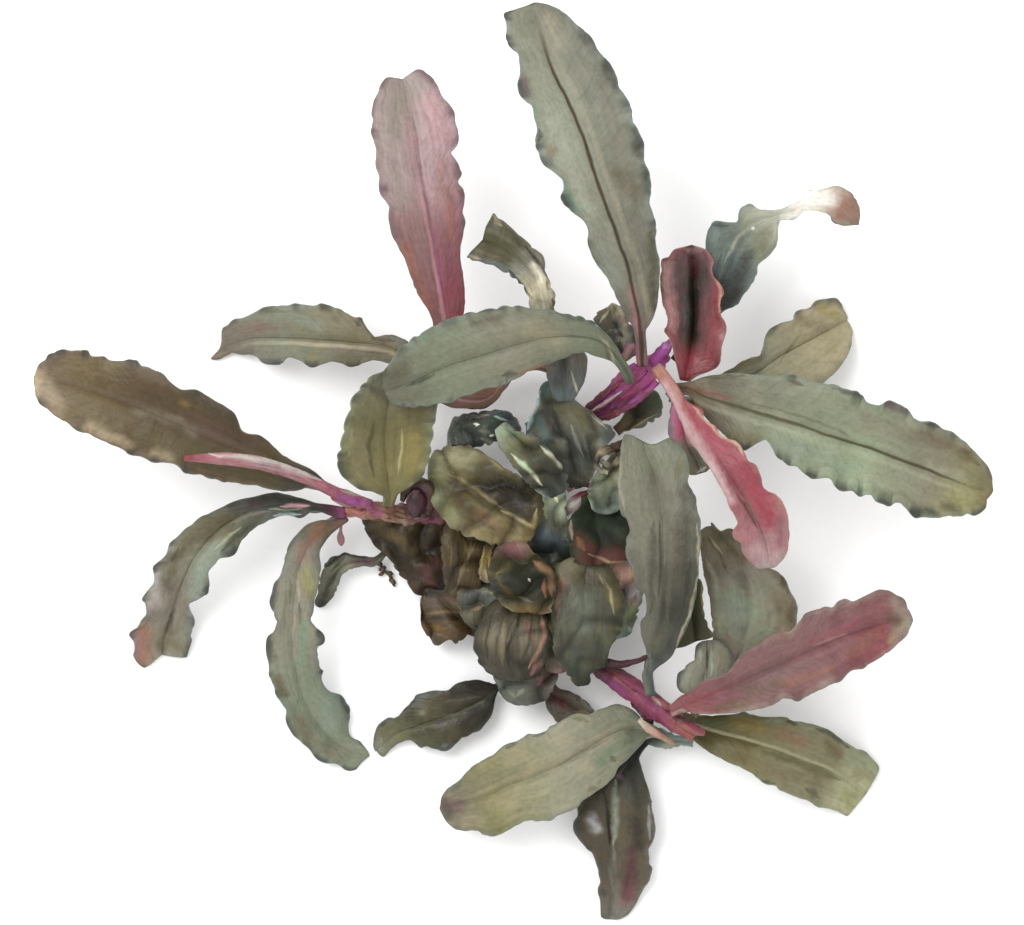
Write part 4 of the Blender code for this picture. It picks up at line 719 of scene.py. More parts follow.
growLeaf("leafLeftOlive", {
    "slot": "olive_leaf", "size": "big", "lift": (1.2, 0.8), "ruffle": 0.2, "contrast": 1.47,
    "tint": (1.15, 1.17, 0.99), "scallops": (2.6, 0.4), "tipRound": 1.6, "crumple": 0.2,
    "rightHalf": ("olive", 0.3), "edge": ("coolSage", 0.74, 0.35), "mottle": ("earth", 0.35), "rough": 0.36,
    "rib": ("earth", 0.3, 0.4),
    "stalk": "-156,-56,94",
    "mid": "-154,-39,110 -156,-26,122 -160,6,140 -160,40,154 -154,80,162 -142,116,158",
    "left": "-164,-39 -194,-33 -219,-8 -215,24 -208,54 -194,90 -166,118",
    "right": "-142,-38 -120,-26 -105,0 -102,26 -98,52 -96,84 -122,118",
    "tones": "0 moss 0.3 olive 0.6 moss 0.82 ash 1 pewter",
    "marks": "gold 0.3 1.3 -124,30 -126,-10; straw 0.4 0.25 -138,42 -140,10 -144,-16; "
        "earth 0.6 1.4 -126,70 -122,50; taupe 0.5 1.8 -190,-10 -195,30; flint 0.5 0.8 -174,90 -140,72; "
        "soot 0.5 0.4 -174,-20 -180,20 -174,50; stone 0.5 0.6 -206,6 -200,40",
})

growLeaf("leafLeftSmall", {
    "slot": "dark_leaf", "size": "small", "lift": (-0.4, 0.2), "ruffle": 0.1, "contrast": 1.6,
    "tint": (1.4, 1.52, 1.49), "scallops": (1.6, 0.25), "tipRound": 0.8, "crumple": 0.2,
    "edge": ("slate", 0.7, 0.5), "rough": 0.34,
    "stalk": "-140,-90,22",
    "mid": "-170,-123,24 -193,-125,30 -216,-132,30 -232,-154,22 -244,-183,6",
    "left": "-171,-129 -186,-131 -202,-134 -215,-144 -224,-164 -241,-185",
    "right": "-169,-117 -194,-117 -214,-114 -234,-125 -242,-150 -249,-181",
    "tones": "0 dusk 0.25 flint 0.6 ash 1 flint",
    "marks": "plum 0.5 0.8 -180,-124 -196,-126; night 0.8 0.5 -180,-119 -210,-114 -236,-130; "
        "steel 0.7 0.6 -226,-146 -220,-156; ash 0.6 0.28 -198,-129 -216,-130 -230,-140; "
        "ink 0.6 0.35 -210,-120 -228,-136; ink 0.6 0.6 -232,-172 -242,-180; "
        "soot 0.5 0.35 -218,-136 -232,-156 -238,-174",
})

print("The left shoot is grown")

# The upper right shoot.

growLeaf("leafTopTall", {
    "slot": "green_leaf", "size": "big", "lift": (0.9, 0.5), "ruffle": 0.6, "contrast": 1.35,
    "tint": (1.12, 1.17, 1.24), "tipRound": 0.8, "rightHalf": ("ash", 0.5), "edge": ("coolSage", 0.72, 0.4),
    "mottle": ("taupe", 0.35), "rib": ("umber", 0.45, 0.95), "ridge": ("sand", 1.3, 0.6, 0.3),
    "mid": "161,132,156 159,171,184 151,210,206 141,250,224 134,270,232 120,310,244 105,350,252 90,398,255 "
        "71,444,253 51,484,246 43,506,240 33,540,230 26,573,218",
    "left": "154,132 153,152 150,168 142,179 136,190 129,205 125,216 118,229 109,240 102,251 97,262 93,275 "
        "93,290 89,300 80,307 70,315 62,323 60,331 63,342 62,350 57,356 47,364 39,370 34,378 31,386 28,394 "
        "28,402 30,410 29,420 25,428 25,436 23,444 16,449 10,455 7,463 5,473 7,481 8,489 8,500 6,509 -1,514 "
        "-6,522 -9,532 -8,542 -11,552 -12,559 -4,563 7,565",
    "right": "168,132 166,163 170,171 174,179 179,190 181,200 182,213 183,229 183,245 181,258 179,270 178,280 "
        "179,290 178,300 174,310 170,322 171,330 172,338 171,356 169,364 164,374 163,385 163,394 161,402 "
        "157,412 152,420 149,428 148,439 144,450 138,460 132,468 131,476 128,484 123,494 117,503 109,510 "
        "104,516 102,522 98,529 90,537 80,546 69,556 60,563 50,568 40,574",
    "tones": "0 rose 0.08 rosewood 0.14 taupe 0.24 stone 0.7 sage 1 stone",
    # The flint, slate, dusk, teal and rust spots along the edges sit where the lobes turn down: painted shade
    # over the leaf's own darker colour there.
    "marks": "rose 0.6 0.6 161,150 153,190 146,224; ash 0.5 1.8 156,240 150,300; "
        "deepOlive 0.7 0.9 173,196 176,240 172,280; flint 0.6 1.1 86,536 102,516; "
        "flint 0.65 1 116,496 126,468; flint 0.55 0.9 152,414 159,386; slate 0.55 0.8 166,366 168,340; "
        "rust 0.5 0.8 48,388; slate 0.7 0.6 33,399 32,416; dusk 0.6 0.9 14,476 16,464; "
        "brown 0.45 1.4 130,360 152,336; teal 0.5 0.8 66,330 74,320; leafGreen 0.5 0.9 60,350 84,314; "
        "taupe 0.5 1 110,470 132,410; sand 0.4 1.4 60,520 44,550; paleSage 0.5 1.2 46,440 64,384 94,310; "
        "coolSage 0.5 1 114,266 130,220",
})

growLeaf("leafCentreArching", {
    "slot": "green_leaf", "size": "big", "lift": (-0.6, -0.5), "ruffle": 0.3, "contrast": 1.2,
    "tint": (1.02, 1.03, 1.04), "scallops": (2.4, 0.3), "tipRound": 1.6, "crumple": 0.2,
    "edge": ("coolSage", 0.66, 0.4), "mottle": ("moss", 0.35), "rib": ("deepGreen", 0.22, 0.5), "grain": 0.4,
    "stalk": "146,100,134",
    "mid": "140,114,166 129,130,190 112,148,218 90,155,236 50,156,252 10,148,256 -40,132,248 -80,120,232 "
        "-120,103,212 -160,87,192",
    "left": "135,111 123,125 102,133 83,137 52,125 20,113 -10,97 -45,88 -80,74 -110,70 -140,68 -160,76",
    "right": "145,117 133,134 119,156 98,176 60,186 20,193 -10,193 -50,187 -85,176 -115,160 -144,140 -160,114 "
        "-166,96",
    "tones": "0 fern 0.2 fern 0.5 stone 0.75 fern 1 ash",
    "marks": "umber 0.55 1 -46,174 -20,179; slate 0.65 0.5 -58,188 -12,192; nightBlue 0.5 0.6 55,186 86,176; "
        "leafGreen 0.6 0.8 -110,154; leafGreen 0.5 0.7 -70,156; deepGreen 0.7 0.5 -134,94 -98,110; "
        "rust 0.6 0.5 42,124 16,112 2,102; deepGreen 0.6 0.7 -14,108 6,110; "
        "straw 0.7 0.25 106,160 122,140 128,120 134,98; deepOlive 0.5 1.2 -156,104 -136,120; "
        "ash 0.5 1.6 -150,90 -130,80; flint 0.5 0.4 114,144 122,124; sand 0.35 1.4 20,164 60,150",
})

growLeaf("leafRightLong", {
    "slot": "green_leaf", "size": "big", "lift": (0.4, 0.8), "ruffle": 0.5, "contrast": 1.18,
    "tint": (1.18, 1.17, 1.15), "tipRound": 0.5, "leftHalf": ("ash", 0.35), "edge": ("coolSage", 0.76, 0.4),
    "mottle": ("stone", 0.35), "rib": ("deepOlive", 0.42, 0.95), "ridge": ("paleSage", 1.1, 0.5, 0.3),
    "stalk": "202,92,132",
    "mid": "222,92,146 240,82,158 280,69,180 320,57,196 360,45,206 400,31,209 430,23,206 470,8,198 510,-7,184 "
        "550,-23,167 577,-33,154 600,-36,142",
    "left": "220,100 230,103 240,107 253,109 281,111 307,109 321,108 348,109 356,107 367,102 375,100 391,98 "
        "404,95 410,92 421,90 430,88 436,84 439,80 442,75 449,72 459,72 466,76 471,77 479,73 489,69 494,65 "
        "498,59 502,54 509,51 521,52 530,48 535,43 541,40 550,37 558,30 565,25 571,19 579,11 586,3 593,-5 "
        "598,-15 600,-25",
    "right": "220,84 230,69 248,48 268,30 286,13 294,16 304,23 313,27 319,24 324,15 331,5 339,-1 345,-5 "
        "355,-5 361,-12 369,-19 377,-21 389,-19 396,-21 400,-28 407,-35 414,-37 422,-36 427,-41 433,-44 "
        "438,-41 446,-41 451,-48 461,-52 469,-56 477,-51 483,-52 490,-57 495,-63 502,-69 511,-68 522,-70 "
        "530,-70 539,-68 551,-68 561,-67 567,-64 575,-67 582,-65 589,-60 591,-55 591,-48 597,-44",
    "tones": "0 wine 0.06 brown 0.14 ash 0.3 fern 0.6 lichen 0.8 stone 0.92 yellowOlive 1 ochre",
    # The short umber, slate, dusk and dark green spots on both edges sit where the lobes turn down: painted
    # shade over the leaf's own colour.
    "marks": "wine 0.55 0.4 224,94 280,76; umber 0.5 0.4 234,105 290,108; brown 0.45 1.1 240,70 266,50; "
        "ochre 0.6 0.9 270,35 306,29; umber 0.7 0.5 343,103 363,96; slate 0.7 0.6 400,92 435,81; "
        "dusk 0.6 0.7 463,72 493,62; slate 0.65 0.5 514,49 533,43; brown 0.55 1.1 515,34 566,8; "
        "earth 0.55 0.7 560,17 586,-4; paleSage 0.6 0.8 520,-5 560,-20; slate 0.7 0.5 366,-14 378,-17; "
        "slate 0.7 0.6 406,-32 432,-39; slate 0.7 0.6 456,-48 470,-52; deepGreen 0.7 0.8 500,-62 525,-64; "
        "deepOlive 0.6 0.8 540,-54 556,-60; deepOlive 0.45 0.25 295,74 330,65 360,56 405,40 420,33; "
        "sage 0.4 0.3 300,67 360,49; taupe 0.4 1.4 440,54 500,32; coolSage 0.5 1.6 330,30 410,-6; "
        "yellowOlive 0.5 1.2 574,-48 550,-40",
})

growLeaf("leafRightTwisted", {
    "slot": "dark_leaf", "size": "big", "lift": (0.6, -0.8), "ruffle": 0.3, "contrast": 1.13,
    "tint": (1.52, 1.51, 1.62), "scallops": (2, 0.1), "tipRound": 0.7, "crumple": 0.25,
    "edge": ("coolSage", 0.75, 0.35), "mottle": ("pewter", 0.35), "lobeShading": ("steel", 0.4),
    "stalk": "202,126,96",
    "mid": "220,150,94 244,192,108 268,240,126 286,278,142 304,299,150 326,308,154 348,313,156 372,326,154 "
        "400,326,142 422,315,130 432,297,120",
    "left": "215,156 228,190 235,220 242,280 245,293 253,302 270,300 280,301 282,312 288,320 298,322 310,316 "
        "334,316 350,324 360,330 366,339 372,341 380,339 400,345 415,342 425,334 433,320 435,304",
    "right": "225,144 246,170 262,188 280,196 288,208 304,230 308,247 319,256 328,268 332,280 331,292 333,301 "
        "350,302 358,308 362,314 380,314 396,308 398,302 406,297 424,296",
    "tones": "0 deepGreen 0.15 flint 0.3 slate 0.42 steel 0.54 fern 0.64 paleSage 0.74 snow 0.84 cream 0.92 "
        "clay 1 taupe",
    "marks": "coolSage 0.7 1.3 254,282 258,240; paleSage 0.75 0.3 264,250 280,280 304,300 330,312; "
        "steel 0.7 0.35 274,254 290,280 312,300; soot 0.6 1 296,262 284,230 280,208; "
        "moss 0.5 1.4 314,284 314,264; clay 0.7 1.6 406,326 424,310; snow 0.7 1.4 374,330 396,328; "
        "straw 0.5 0.6 340,310 370,320; sage 0.6 0.7 398,302 424,296; white 0.8 0.3 300,291; "
        "nightBlue 0.5 0.6 250,220 260,260; slate 0.6 0.4 248,296 270,296",
})

growLeaf("leafRightCupped", {
    "slot": "red_leaf", "size": "big", "lift": (1.6, 1.6), "ruffle": 0.3, "contrast": 1.22,
    "tint": (0.79, 0.79, 0.71), "scallops": (2, 0.1), "tipRound": 0.9, "crumple": 0.15, "groove": 0.8,
    "edge": ("rose", 0.78, 0.75), "mottle": ("darkWine", 0.3), "rim": ("peach", 0.6), "grain": 0.9,
    "lobeShading": ("wine", 0.3), "rough": 0.34, "gloss": 0.35,
    "mid": "217,114,138 222,142,144 226,180,156 225,220,172 224,272,192",
    "left": "204,123 196,153 189,164 193,173 191,186 187,197 184,224 185,240 186,253 194,256 200,264 210,269",
    "right": "229,108 254,118 260,131 261,144 267,166 265,176 260,184 259,203 264,211 259,222 251,232 248,242 "
        "250,251 242,264 232,270",
    "tones": "0 crimson 0.2 wine 0.45 wine 0.8 dusk 1 mulberry",
    # The soot and ink down the middle are painted shade in the hollow of the cupped blade.
    "marks": "soot 0.95 2.2 222,156 221,200 225,232; ink 0.7 1.4 223,166 223,210; "
        "steel 0.5 0.5 214,170 214,214; darkWine 0.7 1.2 228,240 220,256; "
        "paleRose 0.9 1 192,246 195,200 200,170; crimson 0.7 0.7 252,230 254,196 250,140; "
        "peach 0.8 0.3 249,246 259,216 258,186; crimson 0.6 1.3 214,128 240,130; "
        "dustyPink 0.6 0.7 214,264 236,264; peach 0.7 0.3 189,248 190,210",
})

growLeaf("leafRightRear", {
    "slot": "olive_leaf", "size": "big", "lift": (-0.2, 0.6), "ruffle": 0.3, "contrast": 1,
    "tint": (1.26, 1.33, 1.27), "scallops": (2.4, 0.15), "tipRound": 0.6, "edge": ("taupe", 0.8, 0.4),
    "mottle": ("olive", 0.4), "rib": ("deepOlive", 0.25, 0.5),
    "stalk": "196,82,88",
    "mid": "228,74,88 260,86,96 300,110,94 340,136,70 380,158,36 418,178,3",
    "left": "224,81 255,106 288,126 310,135 314,146 318,162 330,171 350,178 353,186 362,191 373,193 378,201 "
        "400,205 410,202 415,190 422,182",
    "right": "232,67 270,60 310,72 355,86 386,98 410,120 423,144 426,169",
    "tones": "0 earth 0.3 moss 0.5 stone 0.75 sand 1 sand",
    "marks": "gold 0.55 0.8 386,194 402,182; umber 0.7 0.5 318,166 336,174; umber 0.6 0.4 366,192 380,198; "
        "umber 0.6 1 290,124 310,130; deepOlive 0.5 0.3 334,124 360,160; brown 0.45 1 360,176 386,170",
})

growLeaf("leafRightRed", {
    "slot": "red_leaf", "size": "big", "lift": (0.7, 0.7), "ruffle": 0.3, "contrast": 1.17,
    "tint": (1.05, 1.29, 1.22), "scallops": (2.2, 0.1), "tipRound": 0.5, "crumple": 0.15,
    "edge": ("rose", 0.8, 0.3), "mottle": ("crimson", 0.35), "rim": ("peach", 0.6), "lobeShading": ("coral", 0.4),
    "rough": 0.36,
    "mid": "186,110,159 206,84,180 226,56,200 252,12,220 274,-22,226 295,-56,220 312,-90,202 323,-132,180",
    "left": "192,114 208,92 220,73 236,67 239,53 253,45 256,37 263,31 281,25 292,3 300,-1 305,-6 308,-15 "
        "313,-32 331,-43 338,-54 345,-80 343,-110 336,-124 326,-133",
    "right": "180,104 198,76 220,27 229,16 236,4 247,-11 277,-69 280,-78 274,-88 275,-96 285,-102 287,-113 "
        "302,-130 312,-134",
    "tones": "0 coral 0.14 coral 0.3 rose 0.6 wine 0.8 rose 1 dustyPink",
    "marks": "crimson 0.95 1.6 214,74 236,50 256,28 284,-6 306,-40 320,-74; coral 0.7 0.7 244,56 282,20; "
        "paleRose 1 1 192,94 212,54 236,16 256,-18 270,-46; mauveGrey 0.6 0.6 224,28 252,-22 264,-46; "
        "darkWine 0.8 0.25 279,-40 294,-62 306,-84; clay 0.7 0.4 286,-42 306,-74; "
        "peach 0.9 0.3 224,70 244,49 260,32 280,23 289,8; rose 0.7 1.2 284,-76 290,-100; "
        "paleRose 0.8 1.2 302,-108 320,-118; mulberry 0.6 0.8 334,-74 334,-100",
})

growLeaf("leafRightUnder", {
    "slot": "red_leaf", "size": "small", "lift": (0.3, 0.3), "ruffle": 0.1, "contrast": 0.9,
    "tint": (1.96, 2.32, 3.2), "scallops": (1.8, 0.3), "tipRound": 0.8, "crumple": 0.2,
    "edge": ("umber", 0.6, 0.5),
    "stalk": "194,90,115",
    "mid": "206,80,116 210,54,122 218,22,120 236,-14,110",
    "left": "216,80 232,52 242,20 252,-10",
    "right": "198,78 196,52 196,22 220,-20",
    "tones": "0 mulberry 0.4 wine 0.7 brown 1 earth",
    "marks": "pewter 0.6 0.7 198,54 198,30; crimson 0.8 0.6 209,50 210,30; straw 0.8 0.25 242,-6 230,-14; "
        "soot 0.6 0.8 224,16 234,-4; rust 0.5 0.4 218,40 228,16",
})

growLeaf("leafTopBent", {
    "slot": "brown_leaf", "size": "big", "lift": (0.4, -0.3), "ruffle": 0.1, "contrast": 1.6,
    "tint": (1.25, 1.31, 1.43), "scallops": (2.2, 0.3), "tipRound": 0.3, "crumple": 0.35,
    "edge": ("taupe", 0.72, 0.4), "mottle": ("umber", 0.4), "grain": 1, "lobeShading": ("taupe", 0.4),
    "mid": "64,88,146 64,124,152 42,180,158 32,214,162 20,239,166 2,259,168 -20,271,166 -39,278,162",
    "left": "47,89 42,116 44,140 24,182 19,206 7,225 -14,240 -59,256",
    "right": "82,88 92,114 88,142 55,184 52,209 42,231 39,252 19,275 -3,295 -28,313",
    "tones": "0 steel 0.3 taupe 0.45 stone 0.6 straw 0.72 stone 0.85 moss 1 moss",
    "marks": "umber 0.8 0.7 50,170 49,204; umber 0.6 0.5 46,216 30,244; cream 0.6 0.8 36,228 26,246; "
        "moss 0.7 1.2 -6,264 -24,278; darkBrown 0.7 0.35 52,216 34,248 14,270; "
        "steel 0.8 0.5 16,216 -12,244 -46,254; ink 0.6 0.3 24,204 -6,241; sand 0.6 0.5 -14,296 -26,308; "
        "sand 0.5 0.4 -40,253 -56,259; straw 0.7 0.25 72,114 84,78; slate 0.5 1.2 56,100 64,134",
})

growLeaf("leafTopCurled", {
    "slot": "dark_leaf", "size": "small", "lift": (-0.7, -0.5), "ruffle": 0.1, "contrast": 1.3,
    "tint": (1.21, 1.38, 1.5), "scallops": (1.6, 0.5), "tipRound": 0.8, "crumple": 0.6, "crumpleSize": 1.6,
    "mottle": ("sand", 0.5), "grain": 1.1, "rough": 0.5, "edge": ("taupe", 0.7, 0.6),
    "mid": "142,142,106 134,158,116 127,176,122 120,195,120",
    "left": "128,140 113,160 102,178 112,192",
    "right": "154,148 154,162 144,180 130,199",
    "tones": "0 soot 0.5 flint 1 brown",
    "marks": "clay 0.6 0.5 134,186 144,164; straw 0.5 0.3 108,174 120,190; ink 0.8 0.7 126,174 136,156; "
        "plum 0.6 0.4 132,160",
})

growLeaf("leafTopPink", {
    "slot": "pink_leaf", "size": "big", "lift": (0.5, 0.5), "ruffle": 0.4, "contrast": 1,
    "tint": (1.22, 1.19, 1.22), "tipRound": 0.9, "leftHalf": ("taupe", 0.35), "edge": ("dusk", 0.85, 0.3),
    "mottle": ("rosewood", 0.25), "rib": ("dusk", 0.2, 0.6), "ridge": ("paleRose", -0.45, 0.35, 0.5),
    "grain": 0.8, "lobeShading": ("dusk", 0.8),
    "stalk": "78,86,84 52,114,86 24,122,88 -8,106,90",
    "mid": "-26,84,92 -48,78,96 -74,88,108 -82,130,132 -83,180,158 -90,220,176 -100,280,198 -110,330,210 "
        "-120,380,214 -128,430,210 -138,478,202",
    "left": "-22,75 -47,66 -92,76 -96,130 -102,180 -119,210 -131,240 -143,268 -152,286 -154,293 -156,302 "
        "-155,312 -156,322 -163,330 -167,339 -168,350 -168,359 -171,366 -172,374 -171,389 -174,398 -177,408 "
        "-177,416 -174,427 -176,435 -174,451 -169,460 -166,471 -158,480 -151,482",
    "right": "-29,94 -45,92 -64,98 -71,130 -62,180 -60,220 -65,256 -62,283 -60,292 -60,301 -63,311 -61,321 "
        "-60,331 -62,340 -69,348 -66,354 -63,360 -68,371 -74,380 -77,386 -70,395 -68,406 -70,418 -72,428 "
        "-74,438 -82,450 -89,458 -91,465 -96,475 -101,481 -108,485 -112,489 -119,490 -127,488",
    "tones": "0 rust 0.36 clay 0.42 wine 0.55 mulberry 0.66 rosewood 0.78 dustyPink 1 mauveGrey",
    # The dusk and plum dots on the edges sit where the lobes turn down: painted shade over the leaf's own
    # colour.
    "marks": "paleRose 0.45 2 -105,450 -90,410; mauveGrey 0.6 2.2 -156,445 -154,380 -144,330; "
        "stone 0.5 2 -134,456 -152,420; paleRose 0.6 0.4 -81,145 -89,200 -96,240; "
        "magenta 0.45 0.4 -86,190 -92,250 -99,300; rust 0.55 1 -108,190 -124,235 -135,270; "
        "rust 0.5 0.9 -80,340 -76,280; clay 0.5 0.8 -86,380 -94,330; dusk 0.75 0.5 -77,436; "
        "dusk 0.8 0.6 -70,372; dusk 0.8 0.6 -64,336; dusk 0.75 0.6 -64,297; plum 0.65 0.7 -160,342; "
        "dusk 0.6 0.5 -173,414; darkWine 0.4 0.25 -102,295 -113,350 -120,400 -126,436",
})

growLeaf("leafLeftUpper", {
    "slot": "green_leaf", "size": "big", "lift": (-0.3, -0.3), "ruffle": 0.3, "contrast": 1.19,
    "tint": (1.15, 1.13, 1.22), "tipRound": 0.5, "edge": ("coolSage", 0.78, 0.35), "mottle": ("ash", 0.45),
    "rib": ("umber", 0.22, 0.6), "ridge": ("straw", -0.7, 0.35, 0.45),
    "stalk": "64,76,56 46,116,60 10,128,66 -40,116,74 -76,108,80",
    "mid": "-106,110,90 -126,129,102 -152,143,110 -185,149,112 -240,153,98 -290,156,70 -330,155,36 "
        "-358,144,12 -379,129,4",
    "left": "-109,102 -134,116 -171,127 -181,126 -201,118 -220,125 -229,126 -249,118 -259,121 -266,127 "
        "-276,130 -284,129 -291,122 -311,123 -320,131 -330,135 -340,135 -351,137 -370,128",
    "right": "-100,117 -131,150 -138,154 -154,160 -169,157 -179,159 -187,176 -190,181 -199,181 -216,191 "
        "-239,198 -249,195 -272,199 -282,196 -309,195 -319,192 -338,181 -350,179 -358,172 -364,169 -365,160 "
        "-363,146 -369,136",
    "tones": "0 moss 0.3 ash 0.5 stone 0.62 olive 0.8 fern 1 taupe",
    "marks": "gold 0.5 0.7 -160,147 -130,120; umber 0.5 0.7 -176,156 -148,152; ash 0.6 1.4 -184,138 -220,138; "
        "taupe 0.55 1.2 -350,166 -286,168; clay 0.3 0.8 -334,166 -300,166; moss 0.65 0.7 -312,190 -293,190; "
        "earth 0.65 0.6 -237,192; moss 0.6 0.7 -222,185 -220,170; flint 0.7 0.6 -198,174 -190,170; "
        "coolSage 0.6 0.8 -270,180 -246,168; gold 0.5 0.6 -250,132; earth 0.5 0.3 -220,143 -155,135; "
        "stone 0.5 0.8 -270,136 -320,140; sand 0.5 0.5 -356,138 -376,130",
})

print("The upper right shoot is grown")

# The lower right shoot.

growLeaf("leafCentreUpright", {
    "slot": "green_leaf", "size": "big", "lift": (0.6, 0.8), "ruffle": 0.3, "contrast": 1.18,
    "tint": (0.9, 0.93, 0.95), "tipRound": 0.4, "leftHalf": ("stone", 0.55), "edge": ("steel", 0.85, 0.3),
    "mottle": ("ash", 0.35), "grain": 0.6, "lobeShading": ("slate", 0.2),
    "mid": "170,-280,120 167,-256,144 182,-208,184 189,-150,210 188,-90,220 180,-30,218 161,27,208",
    "left": "164,-283 163,-264 169,-246 161,-219 158,-205 160,-196 166,-189 164,-166 153,-157 151,-142 "
        "148,-132 142,-119 141,-96 145,-85 142,-71 134,-65 132,-50 131,-28 134,8 137,31 143,37",
    "right": "176,-277 175,-263 184,-253 191,-249 201,-239 216,-211 227,-176 229,-159 232,-142 232,-119 "
        "234,-96 234,-73 230,-62 228,-44 219,-28 220,-14 219,1 212,17 202,27 194,30 187,22 180,18",
    "tones": "0 steel 0.15 pewter 0.35 flint 0.55 ash 0.75 stone 1 fern",
    "marks": "ash 0.5 0.9 172,-20 174,-60; flint 0.55 0.7 176,-75 174,-130 172,-190; "
        "soot 0.6 0.28 183,-74 184,-124 182,-170; stone 0.75 0.28 187,-30 189,-80 189,-130; "
        "ash 0.5 0.5 196,-140 192,-200; brown 0.4 1.2 204,-90 206,-150; "
        "flint 0.6 1.4 216,-30 216,-120 208,-180; soot 0.5 0.6 222,-120 214,-180; "
        "pewter 0.7 0.7 222,-30 226,-60; stone 0.6 1.4 144,15 146,-50 154,-100; "
        "straw 0.5 0.3 134,10 133,-30 139,-60; straw 0.8 0.25 230,-76 232,-140 220,-190 204,-232; "
        "taupe 0.5 1.2 176,-14 194,-40; stone 0.6 1.6 180,8 150,14; olive 0.6 0.8 210,2 204,-16; "
        "deepGreen 0.6 0.9 196,-226 180,-246; moss 0.55 1.4 186,-214 176,-230; "
        "coolSage 0.5 0.5 171,-240 172,-260",
})

growLeaf("leafLowerMauve", {
    "slot": "pink_leaf", "size": "big", "lift": (0.5, 0.7), "ruffle": 0.3, "contrast": 1.31,
    "tint": (0.95, 1, 0.91), "tipRound": 0.6, "crumple": 0.15, "leftHalf": ("rosewood", 0.45),
    "edge": ("mauveGrey", 0.76, 0.45), "mottle": ("rosewood", 0.35), "rib": ("mulberry", 0.4, 0.5),
    "lobeShading": ("dusk", 0.4),
    "mid": "208,-308,122 234,-297,136 270,-282,152 320,-260,168 370,-238,180 420,-216,184 465,-202,182 "
        "500,-198,178",
    "left": "204,-298 211,-292 221,-287 243,-270 258,-268 272,-259 277,-251 292,-234 302,-231 311,-225 "
        "319,-217 330,-211 347,-211 354,-202 360,-196 366,-189 388,-181 399,-181 405,-174 415,-171 424,-174 "
        "435,-169 456,-160 469,-161 490,-172 492,-181 498,-189",
    "right": "208,-310 232,-315 285,-313 319,-305 330,-300 336,-295 347,-296 356,-299 369,-292 396,-279 "
        "409,-274 422,-261 435,-259 447,-251 462,-242 488,-221 496,-210",
    "tones": "0 crimson 0.1 wine 0.22 mulberry 0.45 rosewood 0.7 mulberry 0.88 wine 0.95 rosewood 1 mauveGrey",
    "marks": "crimson 0.45 0.5 216,-300 270,-280; wine 0.55 0.5 360,-228 410,-209 446,-194; "
        "magenta 0.35 0.6 410,-206 444,-192; paleRose 0.4 0.28 374,-230 416,-214; "
        "brown 0.55 1.1 290,-286 334,-276; rust 0.6 0.9 340,-276 396,-260; rust 0.45 1.2 420,-240 456,-216; "
        "rosewood 0.7 1.2 336,-262 304,-264; clay 0.7 0.7 314,-224 346,-214; clay 0.6 0.6 256,-266 286,-246; "
        "mauveGrey 0.6 1.2 476,-174 492,-194; sand 0.5 0.9 488,-200 474,-220; "
        "brown 0.6 0.8 470,-194 480,-198; ochre 0.6 0.8 254,-308 294,-300; dusk 0.5 1 290,-272 330,-256",
})

growLeaf("leafLowerPale", {
    "slot": "olive_leaf", "size": "big", "lift": (-0.2, 0.2), "ruffle": 0.3, "contrast": 1.13,
    "tint": (0.96, 0.94, 0.91), "scallops": (2.4, 0.08), "tipRound": 0.9, "crumple": 0.12,
    "edge": ("coolSage", 0.84, 0.45), "mottle": ("sand", 0.4), "rib": ("taupe", 0.25, 0.5),
    "ridge": ("sand", 0.8, 0.4, 0.4), "lobeShading": ("steel", 0.25), "grain": 0.5,
    "mid": "170,-338,56 144,-334,68 120,-342,78 90,-360,89 60,-378,96 30,-392,94 0,-403,86 -30,-417,73 "
        "-60,-428,56 -92,-434,38",
    "left": "168,-346 143,-373 132,-382 125,-395 103,-414 87,-424 80,-433 58,-442 48,-449 37,-449 29,-450 "
        "18,-449 -2,-458 -14,-465 -27,-469 -39,-466 -44,-462 -70,-461 -89,-445",
    "right": "172,-328 162,-322 152,-312 140,-305 126,-303 101,-313 95,-316 83,-315 72,-317 52,-329 45,-331 "
        "43,-336 31,-340 19,-340 10,-346 -11,-355 -25,-366 -50,-381 -68,-399 -81,-408 -89,-418 -91,-427",
    "tones": "0 moss 0.08 coolSage 0.2 sage 0.4 paleSage 0.75 yellowOlive 0.92 stone 1 taupe",
    "marks": "dusk 0.75 1.4 -82,-432 -68,-430; slate 0.5 0.8 -88,-426 -82,-442; "
        "leafGreen 0.55 1.3 110,-374 130,-356; deepOlive 0.6 0.7 124,-370 129,-376; "
        "coolSage 0.55 1.4 124,-316 140,-324; olive 0.7 0.5 76,-322 94,-324; moss 0.55 0.9 150,-332 146,-348; "
        "slate 0.7 0.45 24,-343 40,-340; slate 0.7 0.45 -9,-357 6,-351; "
        "taupe 0.5 0.25 50,-384 86,-364 120,-346; umber 0.35 0.25 70,-377 94,-364; "
        "ochre 0.6 0.6 94,-412 104,-408; stone 0.5 1.4 -40,-402 0,-386; paleSage 0.5 0.9 30,-436 74,-426; "
        "steel 0.5 0.5 -64,-399 -80,-414",
})

